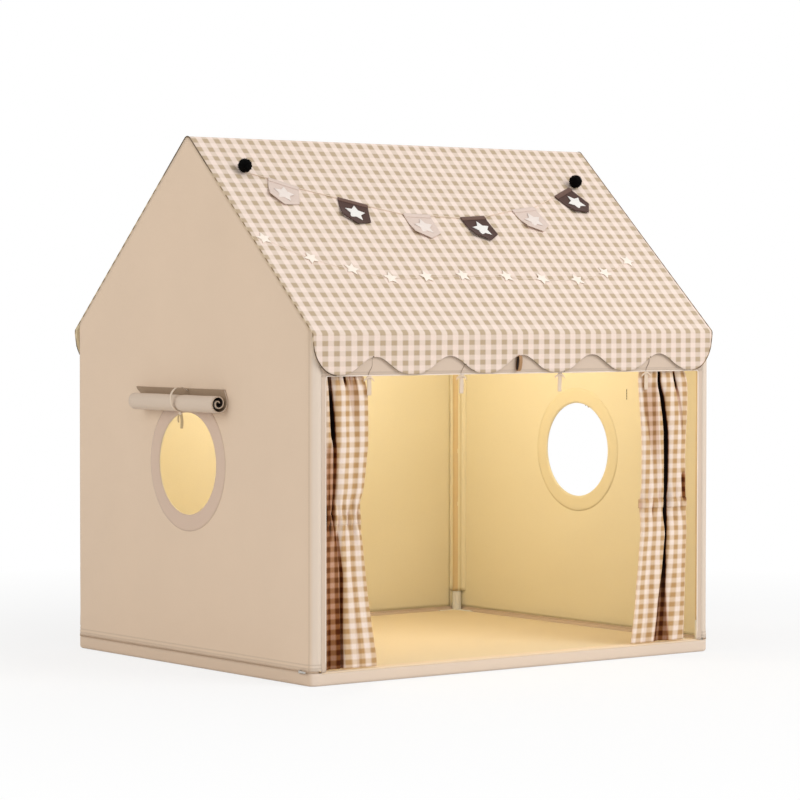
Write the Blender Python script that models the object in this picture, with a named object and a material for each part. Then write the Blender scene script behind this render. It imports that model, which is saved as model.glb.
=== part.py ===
"""Kids play tent: a gabled house of round poles in moulded socket connectors under a sewn cloth cover.

Metres, +Z up. The origin is on the ground at the middle of the footprint. The ridge runs along X and
the door faces -Y. Every cloth panel is a closed sheet of the thickness CLOTH, and pieces that touch
keep the gap FIT.
"""

import math

import bmesh
import bpy
from mathutils import Matrix, Vector

# Overall size, over the cloth
WIDTH = 1.21
DEPTH = 1.00
HEIGHT = 1.25
EAVE_AXIS_Z = 0.7905
DOOR_HEAD_DROP = 0.0955

# Cloth and clearances
CLOTH = 0.002
FIT = 0.0003
CUT_OVERRUN = 0.01

# Poles and their moulded connectors
POLE_R = 0.0095
POLE_WALL = 0.0012
SLEEVE_R = 0.0122
HUB_R = 0.0130
SLEEVE_ROOT = 0.0035
FACET_TWIST = 0.07
SOCKET_STOP = 0.033
SOCKET_END = 0.060
WEB = 0.003
WEB_REACH = 0.045

# Walls
CORNER_R = 0.020
SEAM_HEM = 0.001
JAMB = 0.0125
TUNNEL_TURN = 50
TUNNEL_FLARE = 0.0005
TUNNEL_GAP = 0.002
TUNNEL_SEAT_SHARE = 0.6
ZIP_H = 0.006
ZIP_COIL_H = 0.0036
ZIP_COIL_PROUD = 0.0012
SILL_DEPTH = 0.038
MAT_CORNER_R = 0.060

# Roof cloth and its scalloped valances
VALANCE_GAP = 0.004
VALANCE_DROP = 0.0945
ARCH_RISE = 0.041
SCALLOPS = 6
END_SCALLOP_SHARE = 0.314
ARCH_SHARPNESS = 1.45
EAVE_FOLD_R = 0.008

# Round windows and their facings
WINDOW_R = 0.121
WINDOW_Z = 0.480
FACING_W = 0.039
FACING_T = 0.0012

# Rolled window covers, their ties and the ties' tails
ROLL_LENGTH = 0.40
ROLL_R = 0.021
ROLL_ROOM = 0.003
ROLL_CLOTH = 0.0022
ROLL_PITCH = 0.0062
ROLL_TURNS = 2.2
ROLL_LIFT = 0.0225
FLAP_RISE = 0.0365
TIE_T = 0.001
TIE_W = 0.008
TIE_Y = -0.018
TIE_LEAN_SHARE = 0.2
TIE_END_TURN = -130
KNOT_R = 0.0042
KNOT_TURN = 10
KNOT_SIDES = 10
TAIL_LENGTH = 0.034
TAIL_SPREAD = 0.003
TAIL_W = 0.0042

# Curtains on their rod
ROD_R = 0.005
ROD_WALL = 0.001
ROD_RISE = 0.018
CASING_WALL = 0.002
CURTAIN_CLOTH = 0.003
CURTAIN_CLEAR = 0.003
PLEATS = 4
PLEAT_DEPTH = 0.019
GATHER_DEPTH = 0.005
GATHER_DROP = 0.14
TIE_BACK_HEIGHT_SHARE = 0.534
TIE_BACK_H = 0.022
TIE_BACK_T = 0.0015

# Ribbons, the strap loop and the zip slider
RIBBON_X_SHARES = (-0.786, -0.314, 0.213, 0.699)
RIBBON_W = 0.010
RIBBON_T = 0.001
RIBBON_HANG = 0.047
TAPE_RISE = 0.060
TAPE_H = 0.010
STRAP_W = 0.010
STRAP_T = 0.002
STRAP_LENGTH = 0.032
STRAP_LIFT = 0.002
STRAP_BULGE = 0.006
SLIDER_LENGTH = 0.011
SLIDER_H = 0.008
SLIDER_T = 0.003
SLIDER_START = 0.012
LUG_T = 0.0009
KNUCKLE_R = 0.0017
PIN_R = 0.0007
PULL_LENGTH = 0.024
PULL_H = 0.0045
PULL_T = 0.0014

# Garland, pompoms and star lights on the front slope
GARLAND_SAG_SHARE = 0.394
GARLAND_VERTEX_SHARE = 0.033
GARLAND_CURVE_SHARE = 0.70
CORD_R = 0.00125
CORD_STEPS = 24
CORD_SIDES = 6
POMPOM_R = 0.017
POMPOM_X_SHARES = (-0.846, 0.820)
PENNANT_X_SHARES = (-0.684, -0.402, -0.125, 0.155, 0.453, 0.732)
PENNANT_W = 0.078
PENNANT_H = 0.088
PENNANT_T = 0.0015
PENNANT_STRAIGHT_SHARE = 0.75
STAR_R = 0.021
STAR_INNER_SHARE = 0.46
STAR_T = 0.004
STARS = 11
STAR_POINTS = 5
STAR_END_SHARES = (-0.948, 0.823)
STAR_ROW_SHARE = 0.719
STAR_RISE_SHARES = (0.190, 0.098)
STAR_ROW_POWER = 4
WIRE_R = 0.0008
WIRE_STEPS = 2

# Facet counts
POLE_SIDES = 10
CORNER_STEPS = 6
TUNNEL_STEPS = 8
RIDGE_STEPS = 6
WINDOW_SIDES = 36
SPIRAL_STEPS = 14
TIE_STEPS = 18
PIN_SIDES = 12
SCALLOP_STEPS = 10
PLEAT_STEPS = 6
CURTAIN_ROWS = 4

# What follows from those sizes
HALF_W = WIDTH / 2
HALF_D = DEPTH / 2
SEATED_INSET = CLOTH + FIT + HUB_R
AXIS_INSET = max(SEATED_INSET, CORNER_R - (CORNER_R - SEATED_INSET) / math.sqrt(2))
POST_X = HALF_W - AXIS_INSET
POST_Y = HALF_D - AXIS_INSET
RAIL_Z = CLOTH + FIT + HUB_R
RIDGE_AXIS_Z = HEIGHT - CLOTH - FIT - HUB_R
ROOF_PITCH = math.atan2(RIDGE_AXIS_Z - EAVE_AXIS_Z, POST_Y)
BAND_TOP_Z = RAIL_Z + HUB_R + FIT
ZIP_Z = BAND_TOP_Z + FIT
WALL_Z = ZIP_Z + ZIP_H + FIT
SILL_Z = BAND_TOP_Z + FIT
BORE_R = POLE_R + FIT
SEAM_X = POST_X - BORE_R - SEAM_HEM
DOOR_X = SEAM_X - FIT - JAMB
VALANCE_Y = HALF_D + VALANCE_GAP
VALANCE_Z = EAVE_AXIS_Z - VALANCE_DROP
DOOR_HEAD_Z = EAVE_AXIS_Z - DOOR_HEAD_DROP
SLOPE = VALANCE_Y / math.cos(ROOF_PITCH)
ROLL_OUT = FIT + FACING_T + ROLL_ROOM + ROLL_R
ROLL_Z = WINDOW_Z + WINDOW_R + ROLL_LIFT
ROLL_BOTTOM_R = ROLL_R - ROLL_PITCH / 4
TIE_R = (ROLL_BOTTOM_R + FIT + FLAP_RISE) / 2 + TIE_T
TIE_Z = ROLL_Z + TIE_R - ROLL_BOTTOM_R - 2 * FIT
TIE_TOP_X = 2 * FIT + ROLL_CLOTH + (ROLL_OUT - ROLL_R - FIT) * TIE_LEAN_SHARE
TIE_TOP_TURN = math.acos((TIE_TOP_X - ROLL_OUT) / (TIE_R + TIE_T))
ROD_Z = DOOR_HEAD_Z + ROD_RISE
CASING_R = ROD_R + FIT + CASING_WALL
CURTAIN_TOP_Z = ROD_Z - ROD_R - FIT - CASING_WALL / 2
CURTAIN_BOTTOM_Z = SILL_Z + CLOTH + CURTAIN_CLEAR
TIE_BACK_Z = DOOR_HEAD_Z * TIE_BACK_HEIGHT_SHARE

BEIGE = (0.66, 0.51, 0.38)
PALE = (0.73, 0.62, 0.51)
GINGHAM = (0.78, 0.62, 0.47)
WHITE_PLASTIC = (0.80, 0.79, 0.76)
POLE_WHITE = (0.83, 0.82, 0.80)
BROWN = (0.16, 0.07, 0.03)
FELT_BROWN = (0.07, 0.04, 0.03)
BLACK = (0.01, 0.01, 0.01)
NICKEL = (0.60, 0.60, 0.58)
STAR_WHITE = (0.90, 0.86, 0.78)


def clear_scene():
    """Removes the objects that a new Blender file opens with."""
    for old in list(bpy.data.objects):
        bpy.data.objects.remove(old, do_unlink=True)


def material(name, colour, roughness, metallic=0.0):
    """A Principled material of one colour, made once for each name."""
    found = bpy.data.materials.get(name)
    if found:
        return found
    made = bpy.data.materials.new(name)
    made.use_nodes = True
    shader = made.node_tree.nodes["Principled BSDF"]
    shader.inputs["Base Color"].default_value = (*colour, 1.0)
    shader.inputs["Roughness"].default_value = roughness
    shader.inputs["Metallic"].default_value = metallic
    return made


def add_object(name, vertices, faces, finish=None, parent=None):
    """A mesh object from points in world space, kept in place under its parent."""
    mesh = bpy.data.meshes.new(name)
    mesh.from_pydata([tuple(v) for v in vertices], [], faces)
    mesh.update()
    made = bpy.data.objects.new(name, mesh)
    bpy.context.scene.collection.objects.link(made)
    if finish:
        mesh.materials.append(finish)
    if parent:
        mesh.transform(Matrix.Translation(-parent.location))
        made.parent = parent
    return made


def add_pivot(name, place):
    """An empty on a joint's axis, which the pieces of a moving body are parented to."""
    pivot = bpy.data.objects.new(name, None)
    pivot.location = place
    bpy.context.scene.collection.objects.link(pivot)
    return pivot


def outward(made):
    """Recalculates the faces so that they point out of the closed solid."""
    work = bmesh.new()
    work.from_mesh(made.data)
    bmesh.ops.recalc_face_normals(work, faces=work.faces)
    work.to_mesh(made.data)
    work.free()
    return made


def boolean(target, tool, operation):
    """Joins the tool to the target, or cuts it out, and removes the tool."""
    step = target.modifiers.new("step", "BOOLEAN")
    step.operation = operation
    step.solver = "EXACT"
    step.object = tool
    bpy.context.view_layer.update()
    graph = bpy.context.evaluated_depsgraph_get()
    result = bpy.data.meshes.new_from_object(target.evaluated_get(graph))
    target.modifiers.clear()
    target.data = result
    bpy.data.objects.remove(tool, do_unlink=True)
    return target


def smooth(made, angle=math.radians(35)):
    """Smooth shading with sharp edges past the angle."""
    made.data.shade_smooth()
    made.data.set_sharp_from_angle(angle=angle)
    return made


def side_axes(direction):
    """Two axes across a direction, the same for both ways along it, so that facets line up."""
    along = Vector(direction).normalized()
    first = Vector((0, 1, 0)) if abs(along.x) > 0.9 else Vector((1, 0, 0))
    first = (first - along * first.dot(along)).normalized()
    return first, along.cross(first)


def ring_points(centre, direction, radius, sides, twist=0.0):
    """The corners of a regular polygon around a point, across a direction."""
    first, second = side_axes(direction)
    turns = [twist + 2 * math.pi * i / sides for i in range(sides)]
    return [Vector(centre) + radius * (first * math.cos(a) + second * math.sin(a)) for a in turns]


def turned(name, start, direction, section, finish=None, sides=POLE_SIDES, ring=False, twist=0.0):
    """A solid of revolution: section lists (distance along the direction, radius).

    A ring's section is a closed loop. Any other section is capped at both ends.
    """
    along = Vector(direction).normalized()
    vertices, faces = [], []
    for distance, radius in section:
        vertices += ring_points(Vector(start) + along * distance, direction, radius, sides, twist)
    rows = len(section)
    for row in range(rows if ring else rows - 1):
        a, b = row * sides, (row + 1) % rows * sides
        for i in range(sides):
            j = (i + 1) % sides
            faces.append((a + i, a + j, b + j, b + i))
    if not ring:
        last = (rows - 1) * sides
        faces += [tuple(reversed(range(sides))), tuple(range(last, last + sides))]
    return outward(add_object(name, vertices, faces, finish))


def ball_profile(radius):
    """The turned section of a ball, with its two poles cut flat."""
    rows = POLE_SIDES // 2
    turns = [math.pi * row / rows for row in range(1, rows)]
    return [(-radius * math.cos(a), radius * math.sin(a)) for a in turns]


def tube(name, start, end, outer, inner, finish, sides=POLE_SIDES):
    """A round tube between two points, open at both ends."""
    direction = Vector(end) - Vector(start)
    section = [(0, inner), (0, outer), (direction.length, outer), (direction.length, inner)]
    return smooth(turned(name, start, direction, section, finish, sides, ring=True))


def prism(name, outline, low, high, place, finish=None):
    """A solid with the outline's points at two levels, which place(u, v, level) puts in space."""
    count = len(outline)
    vertices = [place(u, v, low) for u, v in outline] + [place(u, v, high) for u, v in outline]
    faces = [(i, (i + 1) % count, count + (i + 1) % count, count + i) for i in range(count)]
    faces += [tuple(reversed(range(count))), tuple(range(count, 2 * count))]
    return outward(add_object(name, vertices, faces, finish))


def strip(name, path, thickness, low, high, place, finish=None, closed=False, parent=None):
    """A sheet of even thickness along a flat path (u, v), as wide as low to high."""
    count = len(path)
    sides = []
    for i in range(count):
        before = path[i - 1] if closed or i else path[i]
        after = path[(i + 1) % count] if closed or i < count - 1 else path[i]
        here = path[i]
        into = Vector((here[0] - before[0], here[1] - before[1]))
        out = Vector((after[0] - here[0], after[1] - here[1]))
        into = into.normalized() if into.length else out.normalized()
        out = out.normalized() if out.length else into
        middle = (into + out).normalized()
        reach = thickness / 2 / max(middle.dot(out), math.cos(math.radians(70)))
        normal = Vector((-middle.y, middle.x)) * reach
        sides.append((Vector(here) + normal, Vector(here) - normal))
    vertices = []
    for left, right in sides:
        for u, v in (left, right):
            vertices += [place(u, v, low), place(u, v, high)]
    faces = []
    for i in range(count if closed else count - 1):
        a, b = 4 * i, 4 * ((i + 1) % count)
        faces += [(a, a + 1, b + 1, b), (a + 2, b + 2, b + 3, a + 3)]
        faces += [(a, b, b + 2, a + 2), (a + 1, a + 3, b + 3, b + 1)]
    if not closed:
        end = 4 * (count - 1)
        faces += [(0, 2, 3, 1), (end, end + 1, end + 3, end + 2)]
    return outward(add_object(name, vertices, faces, finish, parent))


def upright(u, v, level):
    """Places an outline in plan, with its levels as heights."""
    return (u, v, level)


def facing(u, v, level):
    """Places an outline as seen from the front, with its levels as depths."""
    return (u, level, v)


def endwise(u, v, level):
    """Places an outline as seen from the side, with its levels along the ridge."""
    return (level, u, v)


def box(name, low, high, finish=None):
    """A square-cornered solid between two corners."""
    outline = [(low[0], low[1]), (high[0], low[1]), (high[0], high[1]), (low[0], high[1])]
    return prism(name, outline, low[2], high[2], upright, finish)


def arc(centre, radius, start, end, steps):
    """Points along an arc in a plane, both ends included."""
    angles = [start + (end - start) * i / steps for i in range(steps + 1)]
    return [(centre[0] + radius * math.cos(a), centre[1] + radius * math.sin(a)) for a in angles]


def rounded_rectangle(half_x, half_y, radius, steps=CORNER_STEPS):
    """The outline of a rectangle about the origin with rounded corners."""
    corners = [(1, 1, 0), (-1, 1, 1), (-1, -1, 2), (1, -1, 3)]
    outline = []
    for sx, sy, quarter in corners:
        centre = (sx * (half_x - radius), sy * (half_y - radius))
        start = quarter * math.pi / 2
        outline += arc(centre, radius, start, start + math.pi / 2, steps)
    return outline


def roof_z(y, offset):
    """Height at y of the plane that lies offset outside the rafters' axes."""
    rise = (POST_Y - abs(y)) * math.tan(ROOF_PITCH)
    return EAVE_AXIS_Z + rise + offset / math.cos(ROOF_PITCH)


def ridge_arc(offset):
    """Points (y, z) of the rounding over the ridge pole, from the front slope to the back slope."""
    start = math.pi / 2 + ROOF_PITCH
    return arc((0, RIDGE_AXIS_Z), offset, start, math.pi - start, RIDGE_STEPS)


def front_slope(x, s, lift):
    """The point at x, s down the front slope from where the slopes would meet, lift off the cloth."""
    top = RIDGE_AXIS_Z + (HUB_R + FIT + CLOTH) / math.cos(ROOF_PITCH)
    down = Vector((0, -math.cos(ROOF_PITCH), -math.sin(ROOF_PITCH)))
    out = Vector((0, -math.sin(ROOF_PITCH), math.cos(ROOF_PITCH)))
    return Vector((x, 0, top)) + down * s + out * lift


def pole(name, start, end):
    """A pole between two connector centres, which stops FIT short of each socket's floor."""
    start, end = Vector(start), Vector(end)
    along = (end - start).normalized()
    reach = SOCKET_STOP + FIT
    finish = material("pole_white", POLE_WHITE, 0.35)
    return tube(name, start + along * reach, end - along * reach, POLE_R, POLE_R - POLE_WALL, finish)


def connector(name, centre, directions, webs):
    """A moulded corner: one round sleeve for each direction, a ball where they meet, and flat webs.

    Each sleeve is bored from its mouth to SOCKET_STOP. A web is a thin gusset between two sleeves.
    Each sleeve's outer facets are turned by their own small angle, so that no two edges coincide
    where the sleeves cross. The bores' facets stay in line with the poles'.
    """
    centre = Vector(centre)
    plastic = material("connector_plastic", WHITE_PLASTIC, 0.45)
    made = turned(name, centre, directions[0], ball_profile(HUB_R), plastic)
    profile = [(SLEEVE_ROOT, SLEEVE_ROOT), (2 * SLEEVE_ROOT, SLEEVE_R), (SOCKET_END, SLEEVE_R)]
    for i, direction in enumerate(directions):
        twist = FACET_TWIST * (i + 1)
        boolean(made, turned("sleeve", centre, direction, profile, twist=twist), "UNION")
    for first, second in webs:
        boolean(made, web(centre, Vector(first), Vector(second)), "UNION")
    for direction in directions:
        mouth = SOCKET_END + CUT_OVERRUN
        bore = turned("bore", centre, direction, [(SOCKET_STOP, BORE_R), (mouth, BORE_R)])
        boolean(made, bore, "DIFFERENCE")
    return smooth(made)


def web(centre, first, second):
    """A triangular gusset in the plane of two sleeves, which starts inside both of them."""
    across = first.cross(second).normalized()
    root = SLEEVE_R - POLE_WALL
    corners = [first * WEB_REACH, second * WEB_REACH, second * root, first * root]
    vertices = [centre + corner + across * side for side in (-WEB / 2, WEB / 2) for corner in corners]
    faces = [(0, 1, 2, 3), (7, 6, 5, 4), (0, 4, 5, 1), (1, 5, 6, 2), (2, 6, 7, 3), (3, 7, 4, 0)]
    return outward(add_object("web", vertices, faces))


def build_frame():
    """Posts, rails, rafters and the ridge pole, and the ten connectors that hold them."""
    inward_x, inward_y, up = Vector((1, 0, 0)), Vector((0, 1, 0)), Vector((0, 0, 1))
    sides = {"left": -1, "right": 1}
    ends = {"front": -1, "back": 1}
    for end, sy in ends.items():
        for side, sx in sides.items():
            foot = Vector((sx * POST_X, sy * POST_Y, RAIL_Z))
            eave = Vector((sx * POST_X, sy * POST_Y, EAVE_AXIS_Z))
            ridge = Vector((sx * POST_X, 0, RIDGE_AXIS_Z))
            to_x, to_y = -sx * inward_x, -sy * inward_y
            slope = (ridge - eave).normalized()
            connector(f"{end}_{side}_foot_connector", foot, [up, to_x, to_y], [(to_x, to_y)])
            webs = [(to_x, to_y), (-up, to_x)]
            connector(f"{end}_{side}_eave_connector", eave, [-up, to_x, to_y, slope], webs)
            pole(f"{end}_{side}_post", foot, eave)
            pole(f"{end}_{side}_rafter", eave, ridge)
        for level, z in {"base": RAIL_Z, "eave": EAVE_AXIS_Z}.items():
            pole(f"{end}_{level}_rail", (-POST_X, sy * POST_Y, z), (POST_X, sy * POST_Y, z))
    for side, sx in sides.items():
        for level, z in {"base": RAIL_Z, "eave": EAVE_AXIS_Z}.items():
            pole(f"{side}_{level}_rail", (sx * POST_X, -POST_Y, z), (sx * POST_X, POST_Y, z))
        down_front = Vector((0, -math.cos(ROOF_PITCH), -math.sin(ROOF_PITCH)))
        down_back = Vector((0, math.cos(ROOF_PITCH), -math.sin(ROOF_PITCH)))
        to_x = -sx * inward_x
        ridge = (sx * POST_X, 0, RIDGE_AXIS_Z)
        connector(f"{side}_ridge_connector", ridge, [to_x, down_front, down_back], [])
    pole("ridge_pole", (-POST_X, 0, RIDGE_AXIS_Z), (POST_X, 0, RIDGE_AXIS_Z))


def wall_top(y):
    """Height of a gable wall's top edge, FIT under the roof cloth, rounded over the ridge."""
    curve = ridge_arc(HUB_R)
    for (y0, z0), (y1, z1) in zip(curve, curve[1:]):
        if y0 <= y <= y1:
            return z0 + (z1 - z0) * (y - y0) / (y1 - y0)
    return roof_z(y, HUB_R)


def gable_wall(side, sx):
    """A gable wall: a sheet that turns the corner at both posts, with its round window cut out.

    In plan it runs from the front seam round the front post, along the gable and round the back
    post to the back seam. Its top edge follows the roof.
    """
    def plan(inset):
        radius = CORNER_R - inset
        centre_x, centre_y = HALF_W - CORNER_R, HALF_D - CORNER_R
        path = [(SEAM_X, -(HALF_D - inset))]
        path += arc((centre_x, -centre_y), radius, -math.pi / 2, 0, CORNER_STEPS)
        path += [(HALF_W - inset, y) for y, _ in ridge_arc(HUB_R)]
        path += arc((centre_x, centre_y), radius, 0, math.pi / 2, CORNER_STEPS)
        return path + [(SEAM_X, HALF_D - inset)]

    outer, inner = plan(0), plan(CLOTH)
    count = len(outer)
    vertices = []
    for outline in (outer, inner):
        vertices += [(sx * x, y, WALL_Z) for x, y in outline]
        vertices += [(sx * x, y, wall_top(y)) for x, y in outline]
    faces = []
    for i in range(count - 1):
        j = i + 1
        faces += [(i, j, count + j, count + i)]
        faces += [(2 * count + i, 3 * count + i, 3 * count + j, 2 * count + j)]
        faces += [(i, 2 * count + i, 2 * count + j, j)]
        faces += [(count + i, count + j, 3 * count + j, 3 * count + i)]
    for i in (0, count - 1):
        faces += [(i, count + i, 3 * count + i, 2 * count + i)]
    wall = outward(add_object(f"{side}_wall", vertices, faces, material("beige_cloth", BEIGE, 0.9)))
    hole_r = WINDOW_R + FACING_T + FIT
    through = [(HALF_W - CLOTH - CUT_OVERRUN, hole_r), (HALF_W + CUT_OVERRUN, hole_r)]
    cutter = turned("cutter", (0, 0, WINDOW_Z), (sx, 0, 0), through, sides=WINDOW_SIDES)
    boolean(wall, cutter, "DIFFERENCE")
    for sy in (-1, 1):
        boolean(wall, post_tunnel(sx, sy), "UNION")
    smooth(wall)


def post_tunnel(sx, sy):
    """The sewn tunnel that holds a post: a sheet from the gable round the post to the return."""
    radius = BORE_R + CLOTH / 2
    angle = math.radians(TUNNEL_TURN)
    seat = CLOTH * TUNNEL_SEAT_SHARE
    gable, face = HALF_W - seat - POST_X, HALF_D - seat - POST_Y
    wrap = arc((0, 0), radius, -angle, angle - 3 * math.pi / 2, TUNNEL_STEPS)
    path = [(gable, wrap[0][1] - TUNNEL_FLARE)] + wrap + [(wrap[-1][0] - TUNNEL_FLARE, face)]
    low, high = RAIL_Z + SOCKET_END + TUNNEL_GAP, EAVE_AXIS_Z - SOCKET_END - TUNNEL_GAP
    place = lambda u, v, level: (sx * (POST_X + u), sy * (POST_Y + v), level)
    return strip("tunnel", path, CLOTH, low, high, place)


def window_facing(side, sx):
    """The facing sewn round a window: a ring on each face of the wall and the fold between them."""
    outer, bound = WINDOW_R + FACING_W, WINDOW_R + FACING_T
    inside, outside = HALF_W - CLOTH - FIT, HALF_W + FIT
    section = [(outside + FACING_T, WINDOW_R), (outside + FACING_T, outer), (outside, outer)]
    section += [(outside, bound), (inside, bound), (inside, outer)]
    section += [(inside - FACING_T, outer), (inside - FACING_T, WINDOW_R)]
    cloth = material("facing_cloth", PALE, 0.9)
    centre = (0, 0, WINDOW_Z)
    smooth(turned(f"{side}_window_facing", centre, (sx, 0, 0), section, cloth, WINDOW_SIDES, ring=True))


def build_walls():
    """The gable walls, the back wall, and the front panel: the door's header with its two jambs."""
    cloth = material("beige_cloth", BEIGE, 0.9)
    for side, sx in (("left", -1), ("right", 1)):
        gable_wall(side, sx)
        window_facing(side, sx)
    span = SEAM_X - FIT
    top = roof_z(HALF_D, HUB_R)
    box("back_wall", (-span, HALF_D - CLOTH, WALL_Z), (span, HALF_D, top), cloth)
    foot = SILL_Z + CLOTH + FIT
    half = [(DOOR_X, DOOR_HEAD_Z), (DOOR_X, foot), (span, foot), (span, top)]
    outline = half + [(-x, z) for x, z in reversed(half)]
    prism("front_panel", outline, -HALF_D, -HALF_D + CLOTH, facing, cloth)


def valance_edge(x):
    """Height of the valance's lower edge: a smooth wave of scallops with rounded outer ends."""
    pitch = WIDTH / (SCALLOPS - 1 + 2 * END_SCALLOP_SHARE)
    last = (SCALLOPS - 1) / 2 * pitch
    past = abs(x) - last
    if past > 0:
        rise = roof_z(VALANCE_Y, HUB_R) - VALANCE_Z - EAVE_FOLD_R
        share = min(past / (END_SCALLOP_SHARE * pitch), 1.0)
        return VALANCE_Z + rise * (1 - math.sqrt(1 - share * share))
    phase = 2 * math.pi * (x - last) / pitch
    wave = (1 - math.cos(phase)) / 2
    return VALANCE_Z + ARCH_RISE * wave**ARCH_SHARPNESS


def build_roof():
    """One sheet over the ridge with a valance at each eave, whose edges are cut in scallops."""
    offset = HUB_R + FIT + CLOTH / 2
    valance = VALANCE_Y + CLOTH / 2
    turn = math.pi / 2 - ROOF_PITCH
    fold_back = EAVE_FOLD_R * math.tan(turn / 2)
    fold_z = roof_z(valance, offset) - fold_back
    fold = arc((-valance + EAVE_FOLD_R, fold_z), EAVE_FOLD_R, math.pi, math.pi - turn, RIDGE_STEPS // 2)
    front = [(-valance, VALANCE_Z - CUT_OVERRUN)] + fold
    ridge = ridge_arc(offset)
    back = [(-y, z) for y, z in reversed(front)]
    cloth = material("gingham_cloth", GINGHAM, 0.9)
    path = front + ridge + back
    roof = strip("roof_cover", path, CLOTH, -HALF_W, HALF_W, endwise, cloth)
    steps = SCALLOPS * SCALLOP_STEPS
    xs = [-HALF_W + WIDTH * i / steps for i in range(steps + 1)]
    floor = VALANCE_Z - 2 * CUT_OVERRUN
    outline = [(x, valance_edge(x)) for x in xs]
    outline = [(-HALF_W - CUT_OVERRUN, outline[0][1])] + outline + [(HALF_W + CUT_OVERRUN, outline[-1][1])]
    outline += [(HALF_W + CUT_OVERRUN, floor), (-HALF_W - CUT_OVERRUN, floor)]
    for sy in (-1, 1):
        near, far = sy * (VALANCE_Y - FIT), sy * (VALANCE_Y + CLOTH + CUT_OVERRUN)
        tool = prism("scallop_cutter", outline, near, far, facing)
        boolean(roof, tool, "DIFFERENCE")
    smooth(roof)


def build_base():
    """The ground sheet with its upstanding band, the padded mat, the door sill and the zip."""
    cloth = material("beige_cloth", BEIGE, 0.9)
    outer = rounded_rectangle(HALF_W, HALF_D, CORNER_R)
    inner = rounded_rectangle(HALF_W - CLOTH, HALF_D - CLOTH, CORNER_R - CLOTH)
    count = len(outer)
    vertices = [(x, y, 0) for x, y in outer] + [(x, y, BAND_TOP_Z) for x, y in outer]
    vertices += [(x, y, BAND_TOP_Z) for x, y in inner] + [(x, y, CLOTH) for x, y in inner]
    faces = []
    for row in range(3):
        for i in range(count):
            j = (i + 1) % count
            faces.append((row * count + i, row * count + j, (row + 1) * count + j, (row + 1) * count + i))
    faces += [tuple(reversed(range(count))), tuple(range(3 * count, 4 * count))]
    smooth(outward(add_object("ground_sheet", vertices, faces, cloth)))

    mat_x, mat_y = POST_X - HUB_R - 2 * FIT, POST_Y - HUB_R - 2 * FIT
    outline = rounded_rectangle(mat_x, mat_y, MAT_CORNER_R)
    mat_cloth = material("mat_cloth", PALE, 0.95)
    smooth(prism("floor_mat", outline, CLOTH + FIT, BAND_TOP_Z, upright, mat_cloth))

    span = POST_X - SLEEVE_R - FIT
    low, high = (-span, -HALF_D, SILL_Z), (span, -HALF_D + SILL_DEPTH, SILL_Z + CLOTH)
    box("door_sill", low, high, cloth)
    build_zip()


def build_zip():
    """The zip that joins the walls to the ground sheet: tape and raised coil, round three sides."""
    half = ZIP_H / 2
    coil = ZIP_COIL_H / 2
    section = [(0, -half), (CLOTH, -half), (CLOTH, half), (0, half), (0, coil)]
    section += [(-ZIP_COIL_PROUD, coil / 2), (-ZIP_COIL_PROUD, -coil / 2), (0, -coil)]

    def path(inset):
        radius = CORNER_R - inset
        x, y = HALF_W - CORNER_R, HALF_D - CORNER_R
        points = [(-SEAM_X, -(HALF_D - inset))]
        points += arc((-x, -y), radius, -math.pi / 2, -math.pi, CORNER_STEPS)
        points += arc((-x, y), radius, math.pi, math.pi / 2, CORNER_STEPS)
        points += arc((x, y), radius, math.pi / 2, 0, CORNER_STEPS)
        points += arc((x, -y), radius, 0, -math.pi / 2, CORNER_STEPS)
        return points + [(SEAM_X, -(HALF_D - inset))]

    rails = [[(x, y, ZIP_Z + half + rise) for x, y in path(inset)] for inset, rise in section]
    count, length = len(section), len(rails[0])
    vertices = [rails[k][i] for i in range(length) for k in range(count)]
    faces = []
    for i in range(length - 1):
        for k in range(count):
            a, b = i * count, (i + 1) * count
            faces.append((a + k, a + (k + 1) % count, b + (k + 1) % count, b + k))
    faces += [tuple(range(count)), tuple(reversed(range((length - 1) * count, length * count)))]
    smooth(outward(add_object("base_zip", vertices, faces, material("zip_coil", PALE, 0.6))))

    build_slider()


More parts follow.
